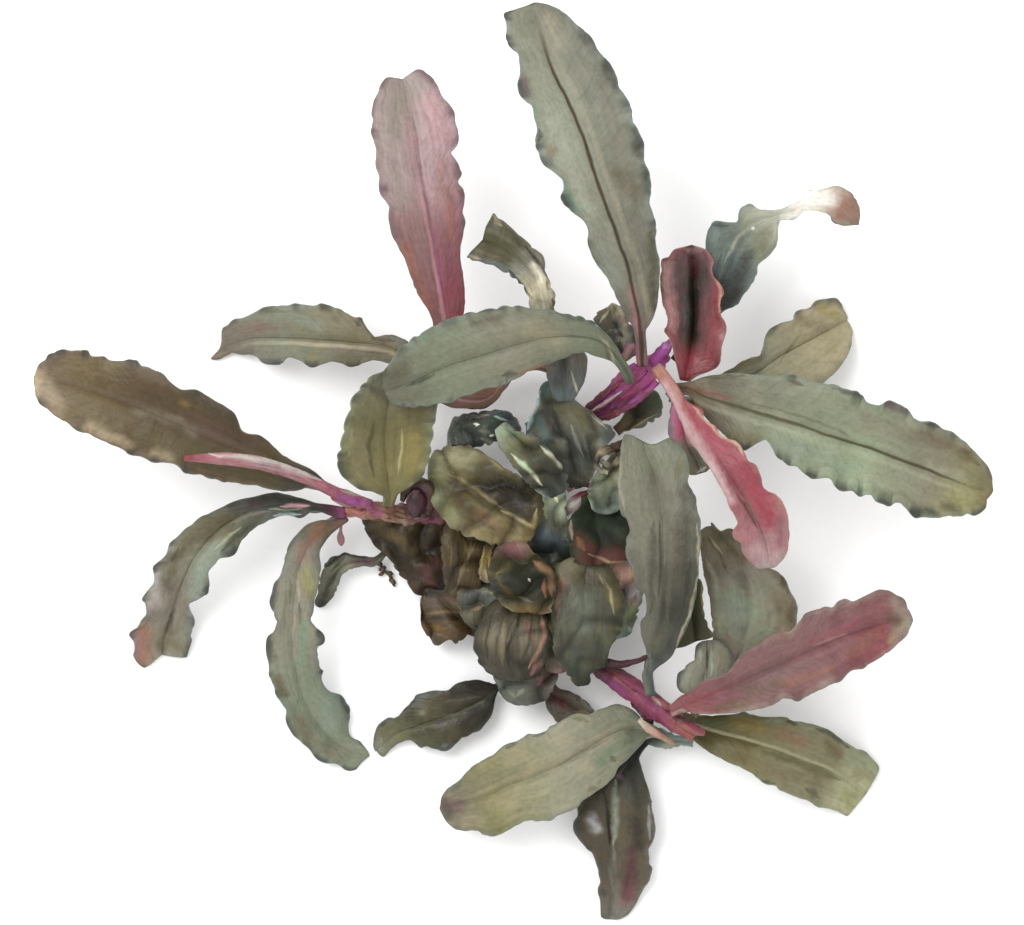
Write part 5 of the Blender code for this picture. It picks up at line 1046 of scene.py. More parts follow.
growLeaf("leafLowerDark", {
    "slot": "brown_leaf", "size": "big", "lift": (-0.4, -0.2), "ruffle": 0.3, "contrast": 1.6,
    "tint": (0.92, 1.07, 1.27), "scallops": (2.4, 0.08), "tipRound": 0.4, "crumple": 0.15,
    "rightHalf": ("umber", 0.4), "edge": ("taupe", 0.82, 0.35), "mottle": ("flint", 0.45),
    "lobeShading": ("pewter", 0.4),
    "stalk": "170,-316,46",
    "mid": "166,-346,24 146,-376,38 126,-410,46 122,-450,42 124,-490,30 128,-526,18 126,-554,10 122,-573,4",
    "left": "173,-347 159,-368 160,-380 174,-422 174,-432 179,-457 177,-472 170,-486 171,-496 171,-503 "
        "175,-510 170,-527 164,-535 148,-564 132,-574",
    "right": "159,-344 146,-366 132,-380 110,-408 95,-416 81,-428 81,-442 76,-450 75,-460 78,-468 92,-484 "
        "100,-490 108,-519 109,-527 106,-534 106,-541 109,-550 109,-573",
    "tones": "0 soot 0.2 flint 0.5 earth 0.8 brown 1 taupe",
    "marks": "soot 0.95 0.3 114,-412 118,-434 120,-460 122,-480; stone 0.8 0.6 128,-400 128,-440 127,-480; "
        "ash 0.7 0.6 126,-480 124,-540; soot 0.6 1 148,-384 154,-416 156,-430; "
        "darkBrown 0.7 1.2 156,-446 156,-480; darkWine 0.75 1.1 150,-490 146,-520 144,-544; "
        "wine 0.3 0.8 148,-536 140,-554; mauveGrey 0.7 1 98,-446 104,-460; slate 0.7 0.6 82,-446 82,-464; "
        "slate 0.7 0.45 89,-478 102,-492; flint 0.6 0.5 110,-494 112,-510; "
        "deepGreen 0.45 0.6 112,-534 114,-546; rosewood 0.5 0.5 134,-394; mauveGrey 0.5 0.4 170,-430 172,-474",
})

growLeaf("leafLowerCut", {
    "slot": "olive_leaf", "size": "big", "lift": (0.3, 0.3), "ruffle": 0.3, "contrast": 1.33,
    "tint": (1.12, 1.11, 0.91), "scallops": (2.4, 0.08), "tipRound": 0.3, "crumple": 0.15,
    "edge": ("coolSage", 0.82, 0.4), "mottle": ("earth", 0.4), "ridge": ("paleSage", -0.3, 0.4, 0.8),
    "rib": ("moss", 0.3, 0.3), "lobeShading": ("steel", 0.35),
    "stalk": "190,-314,52",
    "mid": "208,-324,44 234,-334,58 270,-344,74 320,-358,76 370,-376,54 410,-394,26 442,-417,3",
    "left": "212,-312 226,-316 249,-317 280,-315 288,-312 299,-316 316,-319 342,-319 351,-324 389,-332 "
        "408,-344 428,-358 439,-361 447,-367 459,-382 458,-390",
    "right": "206,-332 236,-357 262,-372 294,-387 314,-402 329,-405 336,-412 372,-426 379,-432 398,-435 "
        "421,-445",
    "tones": "0 moss 0.2 moss 0.4 olive 0.6 stone 0.8 stone 0.92 paleSage 1 paleSage",
    "marks": "clay 0.6 1.2 336,-340 364,-352; brown 0.6 0.9 394,-354 408,-366; gold 0.4 1 280,-328 310,-334; "
        "coolSage 0.6 0.6 316,-322 340,-324; flint 0.7 0.45 342,-324 356,-330; "
        "sage 0.7 0.5 362,-332 376,-334; flint 0.75 0.4 380,-334 398,-340 422,-358; "
        "coolSage 0.6 1.2 426,-370 446,-378; earth 0.6 0.7 280,-348 314,-354; "
        "moss 0.65 0.7 310,-362 360,-378 410,-398; taupe 0.5 0.9 314,-384 336,-392; "
        "flint 0.6 0.7 366,-410 384,-420; mauveGrey 0.55 0.5 390,-420 396,-430; "
        "yellowOlive 0.6 0.9 416,-416 424,-432; slate 0.6 0.35 310,-399 328,-402; "
        "leafGreen 0.4 0.8 240,-324 260,-326; brown 0.4 1 266,-348 284,-356",
})

growLeaf("leafLowerHidden", {
    "slot": "dark_leaf", "size": "small", "lift": (0, 0), "ruffle": 0, "contrast": 0.9,
    "tint": (3.2, 2.9, 3.07), "scallops": (1.4, 0.2), "tipRound": 0.4, "crumple": 0.12,
    "mottle": ("coolSage", 0.4),
    "mid": "213,-350,26 188,-348,23 164,-339,20",
    "left": "213,-356 188,-359 162,-352",
    "right": "211,-344 190,-336 168,-326",
    "tones": "0 steel 1 deepGreen",
})

growLeaf("leafRightMottled", {
    "slot": "green_leaf", "size": "big", "lift": (0.2, 0.3), "ruffle": 0.3, "contrast": 1,
    "tint": (1.56, 1.49, 1.55), "scallops": (2, 0.15), "tipRound": 0.8, "crumple": 0.3,
    "edge": ("brown", 0.74, 0.45), "mottle": ("ash", 0.45), "rough": 0.46, "lobeShading": ("umber", 0.4),
    "stalk": "224,-316,80",
    "mid": "256,-284,82 274,-255,96 292,-210,112 294,-160,120 276,-116,118 248,-80,110",
    "left": "248,-278 250,-250 250,-210 244,-165 236,-125 231,-84",
    "right": "264,-290 306,-272 342,-230 355,-201 355,-178 348,-164 337,-142 310,-124 288,-100 276,-84 "
        "266,-83 257,-85 245,-71",
    "tones": "0 taupe 0.25 ash 0.5 fern 0.75 ash 1 moss",
    "marks": "leafGreen 0.45 1.6 274,-168 300,-190; deepGreen 0.55 0.8 284,-140 290,-154; "
        "steel 0.5 1.6 280,-186 280,-210; umber 0.85 0.3 242,-92 256,-110 270,-140; "
        "sand 0.85 0.25 246,-94 262,-116; darkBrown 0.65 0.7 336,-144 344,-166; "
        "brown 0.6 1.4 330,-166 340,-196; umber 0.5 0.7 348,-180 346,-200; deepGreen 0.5 1 256,-92 274,-94; "
        "lichen 0.5 0.5 240,-120 254,-150 256,-180; umber 0.6 0.4 240,-132 246,-150; "
        "clay 0.7 0.6 326,-208 346,-209; taupe 0.6 1.2 270,-224 280,-244; umber 0.6 0.9 274,-110 288,-120; "
        "brown 0.5 0.6 260,-204 270,-220; moss 0.6 0.8 264,-240 266,-260; "
        "fern 0.5 0.25 272,-146 284,-180 296,-220",
})

growLeaf("leafRightGrey", {
    "slot": "green_leaf", "size": "small", "lift": (0.1, 0.1), "ruffle": 0, "contrast": 1.05,
    "tint": (1.84, 1.8, 1.95), "scallops": (1.8, 0.25), "tipRound": 0.5, "crumple": 0.25,
    "edge": ("slate", 0.8, 0.4), "mottle": ("pewter", 0.4),
    "mid": "232,-298,106 239,-274,116 243,-248,122 248,-222,126",
    "left": "224,-300 205,-282 206,-265 226,-248 230,-230 242,-222",
    "right": "242,-296 266,-272 276,-250 268,-230 254,-220",
    "tones": "0 fern 1 ash",
    "marks": "ink 0.85 0.25 243,-224 242,-270; lichen 0.6 0.3 248,-226 249,-270; "
        "moss 0.6 0.8 260,-236 262,-256; rust 0.7 0.7 234,-280 244,-274; slate 0.6 0.3 208,-266 209,-280; "
        "sage 0.7 0.35 234,-234 235,-248",
})

growLeaf("leafRightShaded", {
    "slot": "dark_leaf", "size": "small", "lift": (0.2, 0.2), "ruffle": 0, "contrast": 0.9,
    "tint": (1.58, 1.57, 1.03), "scallops": (1.8, 0.2), "tipRound": 0.4, "crumple": 0.2, "mottle": ("ink", 0.6),
    "mid": "206,-126,148 214,-160,154 222,-190,156 230,-224,152",
    "left": "218,-124 237,-156 239,-192 253,-220",
    "right": "192,-130 192,-170 194,-206 204,-236",
    "tones": "0 flint 0.4 soot 1 soot",
    "marks": "straw 0.5 0.25 236,-150 237,-190; ink 0.8 0.8 228,-180 234,-214; taupe 0.5 0.3 242,-196 250,-214",
})

growLeaf("leafBottomSmall", {
    "slot": "dark_leaf", "size": "middle", "lift": (-0.3, 0.2), "ruffle": 0.2, "contrast": 1.6,
    "tint": (0.74, 0.81, 0.88), "scallops": (1.8, 0.08), "tipRound": 0.5, "crumple": 0.2,
    "edge": ("pewter", 0.78, 0.5), "mottle": ("soot", 0.4), "rough": 0.32, "lobeShading": ("steel", 0.4),
    "stalk": "34,-226,24 16,-256,22",
    "mid": "-16,-282,24 -44,-302,32 -80,-318,32 -115,-328,26 -145,-340,16 -172,-361,4",
    "left": "-19,-286 -25,-313 -40,-335 -50,-340 -58,-345 -63,-346 -78,-359 -88,-362 -109,-357 -116,-359 "
        "-126,-350 -134,-349 -149,-356 -162,-369 -167,-371",
    "right": "-24,-279 -33,-275 -48,-272 -72,-279 -81,-286 -94,-286 -119,-291 -126,-299 -147,-320 -157,-320 "
        "-170,-332 -176,-350 -172,-367",
    "tones": "0 soot 0.3 flint 0.55 earth 0.75 moss 0.88 olive 1 stone",
    "marks": "ash 0.7 0.28 -34,-298 -50,-308 -70,-315 -100,-320; ash 0.5 0.2 -40,-294 -64,-298 -86,-300; "
        "soot 0.6 1.2 -40,-314 -64,-330; soot 0.6 0.8 -46,-288 -76,-290; slate 0.6 0.5 -46,-278 -74,-284; "
        "olive 0.6 0.9 -110,-310 -116,-316; stone 0.6 0.5 -114,-314; steel 0.5 0.5 -90,-292 -118,-296; "
        "dusk 0.45 0.8 -86,-328 -94,-326; deepOlive 0.5 0.9 -120,-340 -86,-340; "
        "coolSage 0.6 0.6 -82,-354 -90,-356; olive 0.7 0.6 -154,-338 -158,-344; "
        "sage 0.6 0.7 -166,-348 -167,-362; slate 0.65 0.35 -158,-324 -166,-332; "
        "darkWine 0.5 0.4 -34,-284 -36,-294",
})

growLeaf("leafBottomRed", {
    "slot": "red_leaf", "size": "small", "lift": (0.2, 0.2), "ruffle": 0, "contrast": 1.25,
    "tint": (2.01, 1.73, 1.75), "scallops": (1.8, 0.2), "tipRound": 0.6, "crumple": 0.2,
    "edge": ("slate", 0.6, 0.5), "mottle": ("soot", 0.4), "rough": 0.3,
    "stalk": "56,-246,24",
    "mid": "46,-286,26 68,-302,28 90,-320,28 114,-344,24",
    "left": "54,-279 81,-292 104,-313 122,-340",
    "right": "40,-296 50,-320 66,-336 104,-352",
    "tones": "0 darkWine 0.5 flint 1 flint",
    "marks": "steel 0.5 0.5 84,-296 106,-316; darkWine 0.7 0.7 54,-294 66,-310; olive 0.5 0.5 76,-312 96,-316",
})

print("The lower right shoot is grown")

# The old curled leaves of the middle.

growLeaf("leafOldUpper", {
    **oldLeaf, "slot": "dark_leaf", "size": "middle", "lift": (-0.8, -0.8), "ruffle": 0.2, "contrast": 1.26,
    "tint": (2.16, 2.24, 2.36), "edge": ("pewter", 0.75, 0.5), "mottle": ("moss", 0.4),
    "mid": "54,90,114 60,65,124 68,30,126 76,2,116 84,-32,98",
    "left": "64,86 93,67 126,39 112,10 94,-30",
    "right": "35,93 25,66 15,35 42,2 70,-35",
    "tones": "0 teal 0.3 flint 0.7 slate 1 soot",
    "marks": "blueSage 0.8 0.5 34,88 25,64 17,38; teal 0.6 0.8 32,56 44,22; ink 0.8 1.2 60,12 104,8; "
        "ink 0.8 1.1 46,76 56,44 50,24; deepOlive 0.8 2 60,72 90,52; sand 0.35 0.25 94,62 118,42; "
        "ink 0.7 0.5 48,68 62,30; ash 0.6 0.4 72,46 88,6; ash 0.5 0.3 88,34 96,4; "
        "deepOlive 0.6 0.6 68,-14 86,-24",
})

growLeaf("leafOldStrip", {
    **oldLeaf, "slot": "olive_leaf", "size": "small", "lift": (-0.8, -0.4), "ruffle": 0.1, "contrast": 1.36,
    "tint": (2.02, 2.25, 2.43), "edge": ("pewter", 0.7, 0.4), "mottle": ("soot", 0.4),
    "mid": "-8,36,146 9,18,158 26,0,164 44,-24,156 56,-42,146",
    "left": "2,42 28,30 49,8 67,-16 69,-38",
    "right": "-20,28 -9,8 4,-10 24,-32 44,-49",
    "tones": "0 fern 0.3 deepOlive 0.8 soot 1 slate",
    "marks": "sand 0.59 0.35 34,22 52,3 70,-15; straw 0.56 0.35 -2,11 18,-8 36,-29; "
        "leafGreen 0.5 0.5 6,6 26,-18; soot 0.85 1.3 20,16 48,-14",
})

growLeaf("leafOldFolded", {
    **oldLeaf, "slot": "olive_leaf", "size": "middle", "lift": (-0.5, -0.9), "ruffle": 0.3, "contrast": 1.3,
    "tint": (1.11, 1.07, 0.89), "edge": ("sand", 0.56, 0.4), "mottle": ("earth", 0.5), "lobeShading": ("earth", 0.5),
    "stalk": "-96,-54,75",
    "mid": "-103,-14,106 -82,-22,120 -55,-36,134 -20,-56,140 10,-72,136 30,-84,128",
    "left": "-106,-2 -92,15 -54,22 -32,5 -8,-10 14,-20 30,-30 38,-54 35,-82",
    "right": "-109,-26 -104,-46 -90,-68 -70,-85 -44,-98 -14,-104 10,-104 28,-94",
    "tones": "0 sage 0.22 olive 0.5 moss 0.8 olive 1 ochre",
    # The soot and dark brown field is painted shade on the inside of the fold.
    "marks": "soot 1 3.2 -26,-22 8,-40 22,-52; darkBrown 0.9 2 -26,-34 10,-60; "
        "deepOlive 0.6 0.9 -54,-8 -26,-16; paleSage 0.85 1.9 -94,4 -56,9; "
        "fern 0.8 1.7 -100,-6 -94,-44 -76,-70; sand 0.45 0.3 -81,-14 -46,-34 -11,-59; "
        "sand 0.56 0.35 -40,12 -14,-6 16,-18 34,-40; straw 0.6 0.35 -16,-59 6,-71 27,-81 29,-58; "
        "umber 0.8 1.3 -68,-46 -50,-70; earth 0.65 0.6 -36,-74 -24,-86; clay 0.4 1.2 -40,-64 -10,-88; "
        "umber 0.6 0.3 -88,-20 -56,-40 -24,-60",
})

growLeaf("leafOldGlossy", {
    **oldLeaf, "slot": "dark_leaf", "size": "small", "lift": (-1.2, -0.9), "ruffle": 0.1, "contrast": 1.26,
    "tint": (1.56, 1.58, 1.4), "edge": ("nightBlue", 0.6, 0.4), "mottle": ("deepGreen", 0.6), "rough": 0.3,
    "gloss": 0.35,
    "stalk": "-52,-54,56 -70,-6,74",
    "mid": "-78,32,94 -60,46,112 -32,52,120 -7,47,112 10,36,94",
    "left": "-80,44 -62,59 -32,65 -2,60 14,42",
    "right": "-76,20 -56,18 -34,20 -16,26 3,24",
    "tones": "0 ink 0.5 slate 1 nightBlue",
    # The snow marks are painted glints on the glossy surface.
    "marks": "snow 0.63 0.35 -49,47 -42,47; blueSage 0.9 0.35 -24,57 -7,52; "
        "sage 0.7 0.35 -41,30 -24,22 -8,18; straw 0.42 0.3 -48,56 -30,59; ash 0.7 0.6 -44,38 -28,36; "
        "snow 0.56 0.25 -30,32 -24,34",
})

growLeaf("leafOldBluish", {
    **oldLeaf, "slot": "dark_leaf", "size": "small", "lift": (-0.5, -0.5), "ruffle": 0.1, "contrast": 1.45,
    "tint": (3.2, 3.2, 2.73), "edge": ("leafGreen", 0.7, 0.3), "mottle": ("pewter", 0.4),
    "stalk": "46,14,76",
    "mid": "42,-16,92 47,-44,104 49,-80,108 49,-110,100 48,-132,88",
    "left": "64,-20 66,-46 70,-80 78,-110 72,-134",
    "right": "22,-24 26,-52 24,-84 16,-110 22,-134",
    "tones": "0 fern 0.35 coolSage 0.6 pewter 0.78 night 1 night",
    "marks": "nightBlue 0.95 1.8 34,-88 52,-104; night 0.9 1.7 30,-110 66,-122; cream 0.56 0.3 52,-42 56,-50; "
        "sage 0.6 0.6 36,-40 40,-70",
})

growLeaf("leafOldRedEdged", {
    **oldLeaf, "slot": "dark_leaf", "size": "small", "lift": (0.3, 0.2), "ruffle": 0.1, "contrast": 0.95,
    "tint": (0.96, 1.21, 0.88), "edge": ("deepGreen", 0.8, 0.4), "mottle": ("deepGreen", 0.5), "rough": 0.55,
    "gloss": 0.12, "bump": 0.04, "crumple": 0.25, "fold": 0.4,
    "mid": "96,-52,108 104,-72,118 108,-98,126 114,-128,130",
    "left": "114,-50 140,-60 152,-86 146,-128",
    "right": "84,-56 70,-72 68,-98 78,-132",
    "tones": "0 umber 0.12 night 0.6 ink 0.75 darkBrown 1 darkWine",
    "marks": "darkWine 0.8 1 84,-96 100,-114 132,-118; paleRose 0.9 0.35 72,-74 74,-96; "
        "rust 0.6 0.6 80,-94 90,-110; peach 0.63 0.3 94,-115 122,-126 142,-124; "
        "deepGreen 0.6 1.2 100,-72 132,-84",
})

growLeaf("leafOldGrey", {
    **oldLeaf, "slot": "green_leaf", "size": "small", "lift": (0.1, 0.1), "ruffle": 0.1, "contrast": 1.21,
    "tint": (1.39, 1.38, 1.24), "edge": ("lichen", 0.7, 0.4), "mottle": ("slate", 0.4),
    "mid": "129,8,134 121,-16,140 117,-40,142 115,-66,138",
    "left": "139,9 144,-16 142,-42 132,-66",
    "right": "121,7 100,-18 94,-40 98,-64",
    "tones": "0 taupe 0.5 fern 1 steel",
    "marks": "leafGreen 0.5 0.5 112,-10 114,-24; slate 0.7 0.7 120,-46 118,-58; moss 0.5 0.5 124,-20 126,-36",
})

growLeaf("leafOldHanging", {
    **oldLeaf, "slot": "dark_leaf", "size": "middle", "lift": (-0.3, -0.8), "ruffle": 0.2, "contrast": 1,
    "tint": (1.14, 0.88, 0.63), "edge": ("umber", 0.8, 0.4), "mottle": ("moss", 0.35), "grain": 1,
    "lobeShading": ("ink", 0.5),
    "mid": "-138,-69,54 -130,-100,52 -116,-134,42 -102,-166,28",
    "left": "-86,-71 -68,-98 -66,-130 -76,-164",
    "right": "-190,-69 -175,-100 -145,-134 -117,-171",
    "tones": "0 deepOlive 0.15 soot 0.6 soot 1 darkBrown",
    "marks": "moss 0.7 1.2 -170,-82 -140,-96; dusk 0.8 0.6 -90,-86 -84,-120 -86,-156; "
        "ink 0.8 0.5 -102,-84 -98,-120 -96,-156; plum 0.5 0.9 -108,-134 -102,-160; "
        "plum 0.6 0.5 -98,-110 -94,-140; clay 0.7 0.35 -178,-72 -130,-74 -98,-74; "
        "ink 0.6 0.7 -134,-90 -126,-140; dusk 0.5 0.4 -76,-96 -74,-130",
})

growLeaf("leafOldVeined", {
    **oldLeaf, "slot": "olive_leaf", "size": "small", "lift": (-0.3, -0.2), "ruffle": 0.2, "contrast": 0.94,
    "tint": (0.77, 0.72, 0.61), "edge": ("moss", 0.8, 0.5), "mottle": ("umber", 0.6), "grain": 1.1,
    "stalk": "-64,-70,66",
    "mid": "-60,-84,86 -62,-110,90 -63,-138,86 -64,-170,74",
    "left": "-32,-88 -36,-112 -38,-138 -42,-168",
    "right": "-86,-82 -89,-110 -89,-138 -84,-170",
    "tones": "0 ochre 0.4 earth 1 earth",
    "marks": "straw 0.56 0.25 -46,-100 -62,-130 -72,-160; sand 0.42 0.2 -76,-100 -78,-130; "
        "sand 0.42 0.2 -52,-96 -56,-120 -66,-150; gold 0.5 0.4 -62,-96 -54,-120; "
        "ink 0.7 0.45 -68,-98 -70,-126 -80,-150",
})

growLeaf("leafOldYellow", {
    **oldLeaf, "slot": "olive_leaf", "size": "small", "lift": (0.2, 0.2), "ruffle": 0, "contrast": 1.45,
    "tint": (1.17, 1.12, 1.1), "edge": ("straw", 0.49, 0.4), "mottle": ("ochre", 0.4),
    "stalk": "-28,-92,66",
    "mid": "-32,-112,96 -35,-125,102 -35,-138,102 -31,-151,96",
    "left": "-27,-112 -28,-125 -28,-138 -26,-149",
    "right": "-38,-114 -43,-126 -42,-139 -36,-151",
    "tones": "0 ochre 0.5 gold 1 straw",
    "marks": "darkBrown 0.8 0.25 -32,-120 -31,-146",
})

growLeaf("leafOldBlue", {
    **oldLeaf, "slot": "dark_leaf", "size": "small", "lift": (0.1, 0.1), "ruffle": 0, "contrast": 1.44,
    "tint": (2.82, 2.31, 1.57), "edge": ("ink", 0.7, 0.4), "mottle": ("slate", 0.5),
    "stalk": "-28,-120,58",
    "mid": "-32,-142,64 -40,-162,74 -44,-184,76 -42,-206,70",
    "left": "-12,-148 -16,-166 -22,-186 -30,-204",
    "right": "-52,-138 -68,-160 -68,-184 -56,-208",
    "tones": "0 pewter 0.5 nightBlue 1 slate",
    "marks": "steel 0.6 0.6 -56,-154 -24,-164; taupe 0.5 0.4 -54,-186 -36,-180",
})

growLeaf("leafOldCentre", {
    **oldLeaf, "slot": "dark_leaf", "size": "middle", "lift": (-0.6, -0.4), "ruffle": 0.1, "contrast": 1.13,
    "tint": (1.58, 1.5, 1.19), "edge": ("ochre", 0.8, 0.35), "mottle": ("moss", 0.35), "rough": 0.5,
    "gloss": 0.15, "bump": 0.05, "lobeShading": ("ink", 0.5),
    "mid": "0,-98,126 6,-120,140 12,-152,150 18,-188,144",
    "left": "16,-98 32,-118 52,-134 53,-162 44,-194",
    "right": "-18,-100 -28,-124 -30,-154 -16,-178 4,-192",
    "tones": "0 umber 0.22 dusk 0.34 soot 0.6 night 0.85 soot 1 earth",
    # The small snow mark is a painted glint.
    "marks": "clay 0.7 0.6 24,-124 45,-136 49,-170; plum 0.7 0.9 -4,-106 6,-118; "
        "moss 0.7 0.7 -20,-140 2,-128 16,-126; night 0.95 2.2 4,-138 32,-156; umber 0.6 0.7 -16,-154 2,-170; "
        "steel 0.6 0.4 6,-168 24,-176; snow 0.49 0.2 19,-146 22,-150; rust 0.6 0.4 38,-146 40,-170",
})

growLeaf("leafOldBetween", {
    **oldLeaf, "slot": "olive_leaf", "size": "small", "lift": (-0.2, -0.2), "ruffle": 0, "contrast": 0.9,
    "tint": (0.9, 1.09, 0.9), "edge": ("ochre", 0.6, 0.4), "mottle": ("soot", 0.5),
    "stalk": "46,-132,64",
    "mid": "52,-132,96 50,-176,102 50,-222,94 52,-266,76",
    "left": "72,-134 70,-178 68,-222 68,-266",
    "right": "34,-138 32,-180 34,-222 38,-266",
    "tones": "0 earth 0.4 brown 0.7 moss 1 rosewood",
    "marks": "dusk 0.7 0.7 52,-240 48,-260; cream 0.42 0.25 46,-154 44,-174; rust 0.7 0.5 54,-150 52,-190",
})

growLeaf("leafOldMauve", {
    **oldLeaf, "slot": "pink_leaf", "size": "small", "lift": (0.1, 0.1), "ruffle": 0.1, "contrast": 1.45,
    "tint": (2.27, 3.2, 3.2), "edge": ("brown", 0.7, 0.4), "mottle": ("darkWine", 0.35),
    "mid": "136,-124,92 138,-154,98 138,-184,98 134,-219,90",
    "left": "154,-126 162,-158 156,-186 148,-216",
    "right": "112,-126 112,-158 114,-186 116,-226",
    "tones": "0 rosewood 0.3 rust 0.5 dusk 0.7 moss 1 pewter",
    "marks": "rosewood 0.7 0.7 136,-136 144,-150; darkWine 0.75 0.6 154,-164 150,-180; "
        "stone 0.6 0.4 144,-206 150,-214; umber 0.5 0.5 128,-134 132,-150",
})

growLeaf("leafOldBrown", {
    **oldLeaf, "slot": "brown_leaf", "size": "small", "lift": (-0.6, 0.8), "ruffle": 0.2, "contrast": 0.91,
    "tint": (0.86, 0.76, 0.65), "edge": ("deepOlive", 0.8, 0.5), "mottle": ("umber", 0.5), "grain": 0.9,
    "stalk": "6,-174,34 -18,-188,36",
    "mid": "-36,-196,48 -64,-197,46 -90,-197,42 -117,-196,32",
    "left": "-36,-216 -56,-218 -72,-226 -82,-221 -94,-230 -102,-222 -112,-219",
    "right": "-38,-172 -66,-165 -90,-162 -106,-162 -118,-174",
    "tones": "0 umber 0.5 earth 1 brown",
    "marks": "taupe 0.9 1.1 -112,-176 -60,-176; rosewood 0.5 0.5 -106,-170 -66,-172; "
        "sand 0.49 0.35 -112,-189 -60,-188; soot 0.9 0.4 -114,-197 -86,-195 -50,-196; "
        "gold 0.5 0.6 -106,-206 -84,-210; umber 0.6 0.7 -80,-216 -56,-210; sand 0.35 0.25 -100,-214 -80,-220",
})

growLeaf("leafOldRound", {
    **oldLeaf, "slot": "brown_leaf", "size": "middle", "lift": (-1.8, -2), "ruffle": 0.1, "contrast": 1.26,
    "tint": (1.08, 0.99, 0.85), "edge": ("slate", 0.72, 0.6), "mottle": ("pewter", 0.35), "grain": 1.1,
    "lobeShading": ("ink", 0.5), "fold": 0.2, "pillow": 0.1,
    "stalk": "18,-146,68",
    "mid": "4,-168,98 0,-186,114 -2,-215,126 0,-246,116 10,-273,92",
    "left": "28,-170 42,-188 48,-216 45,-244 34,-270",
    "right": "-19,-172 -39,-192 -47,-220 -44,-248 -18,-276",
    "tones": "0 darkWine 0.12 dusk 0.26 flint 0.6 ash 0.8 flint 1 soot",
    "marks": "soot 1 0.35 10,-184 4,-206 -7,-234 -5,-261; darkWine 0.7 0.8 0,-180 20,-188; "
        "mulberry 0.6 0.7 16,-196 26,-224; peach 0.66 0.4 36,-194 39,-214 35,-234 19,-257; "
        "rosewood 0.8 0.7 36,-246 22,-266; flint 0.8 0.22 -12,-192 -20,-220 -22,-250; "
        "taupe 0.7 0.35 -8,-192 -15,-226 -14,-254; soot 0.7 0.22 -28,-198 -34,-226 -30,-250; "
        "ash 0.6 0.35 -23,-196 -28,-230; soot 0.7 0.25 24,-200 20,-226 10,-250; ash 0.6 0.35 15,-198 10,-230; "
        "soot 0.6 0.2 2,-194 -8,-220 -10,-250",
})

growLeaf("leafOldOrangeEdged", {
    **oldLeaf, "slot": "green_leaf", "size": "middle", "lift": (-0.6, -0.2), "ruffle": 0.2, "contrast": 1.4,
    "tint": (1.04, 1.01, 0.85), "edge": ("moss", 0.8, 0.5), "mottle": ("moss", 0.4), "lobeShading": ("soot", 0.5),
    "fold": 0.4,
    "mid": "92,-126,114 90,-156,124 89,-195,128 88,-230,114 87,-280,86",
    "left": "120,-126 134,-156 140,-188 134,-216 122,-230 116,-254 100,-260 92,-282",
    "right": "56,-129 50,-154 49,-188 52,-214 54,-240 66,-262 82,-282",
    "tones": "0 taupe 0.16 ash 0.3 pewter 0.6 pewter 0.8 slate 1 deepGreen",
    "marks": "clay 0.8 0.55 60,-140 57,-164 56,-196; rust 0.6 0.35 64,-142 63,-170; "
        "steel 0.6 1.5 90,-170 88,-206; olive 0.6 0.9 120,-150 128,-180; deepGreen 0.7 0.9 106,-220 106,-240; "
        "teal 0.5 0.9 80,-240 80,-260; straw 0.49 0.3 106,-138 122,-160 126,-190; "
        "umber 0.5 0.5 60,-206 62,-230; earth 0.5 1 80,-140 100,-146; deepOlive 0.6 0.7 126,-200 120,-220",
})

growLeaf("leafOldLowest", {
    **oldLeaf, "slot": "green_leaf", "size": "small", "lift": (-0.6, -0.2), "ruffle": 0.1, "contrast": 1.06,
    "tint": (1.37, 1.23, 1.16), "edge": ("steel", 0.6, 0.5), "mottle": ("slate", 0.5),
    "stalk": "60,-242,56",
    "mid": "46,-262,68 28,-276,68 6,-285,62 -18,-280,54",
    "left": "54,-276 40,-298 12,-304 -14,-298",
    "right": "38,-248 22,-256 2,-262 -30,-262",
    "tones": "0 dusk 0.4 flint 1 steel",
    "marks": "rosewood 0.7 0.7 38,-270 30,-280; coolSage 0.7 0.5 14,-284 6,-294; "
        "soot 0.6 0.4 20,-276 -6,-280; fern 0.6 0.5 -6,-286 4,-296",
})

growLeaf("leafOldUnder", {
    **oldLeaf, "slot": "dark_leaf", "size": "small", "lift": (0.1, 0.1), "ruffle": 0.1, "contrast": 0.9,
    "tint": (3.2, 3.2, 3.2), "mottle": ("deepOlive", 0.5),
    "mid": "139,46,52 152,56,58 168,68,62 184,80,62",
    "left": "135,54 146,72 162,86 182,90",
    "right": "144,40 162,43 184,58 189,72",
    "tones": "0 umber 0.5 soot 1 deepGreen",
    "marks": "sand 0.42 0.2 140,38 180,60; ink 0.6 0.3 140,48 180,74",
})

print("The old leaves are grown")

# The rhizome, its bud, petioles, sheath, root and withered scraps.

growStem("rhizomeMiddle", {
    "slot": "rhizome", "mottle": ("plum", 0.5), "knobs": 0.8,
    "path": "-66,-76,32,19 -30,-96,23,25 15,-126,22,27 50,-170,22,27 74,-212,28,22",
    "tones": "0 darkBrown 1 umber",
})

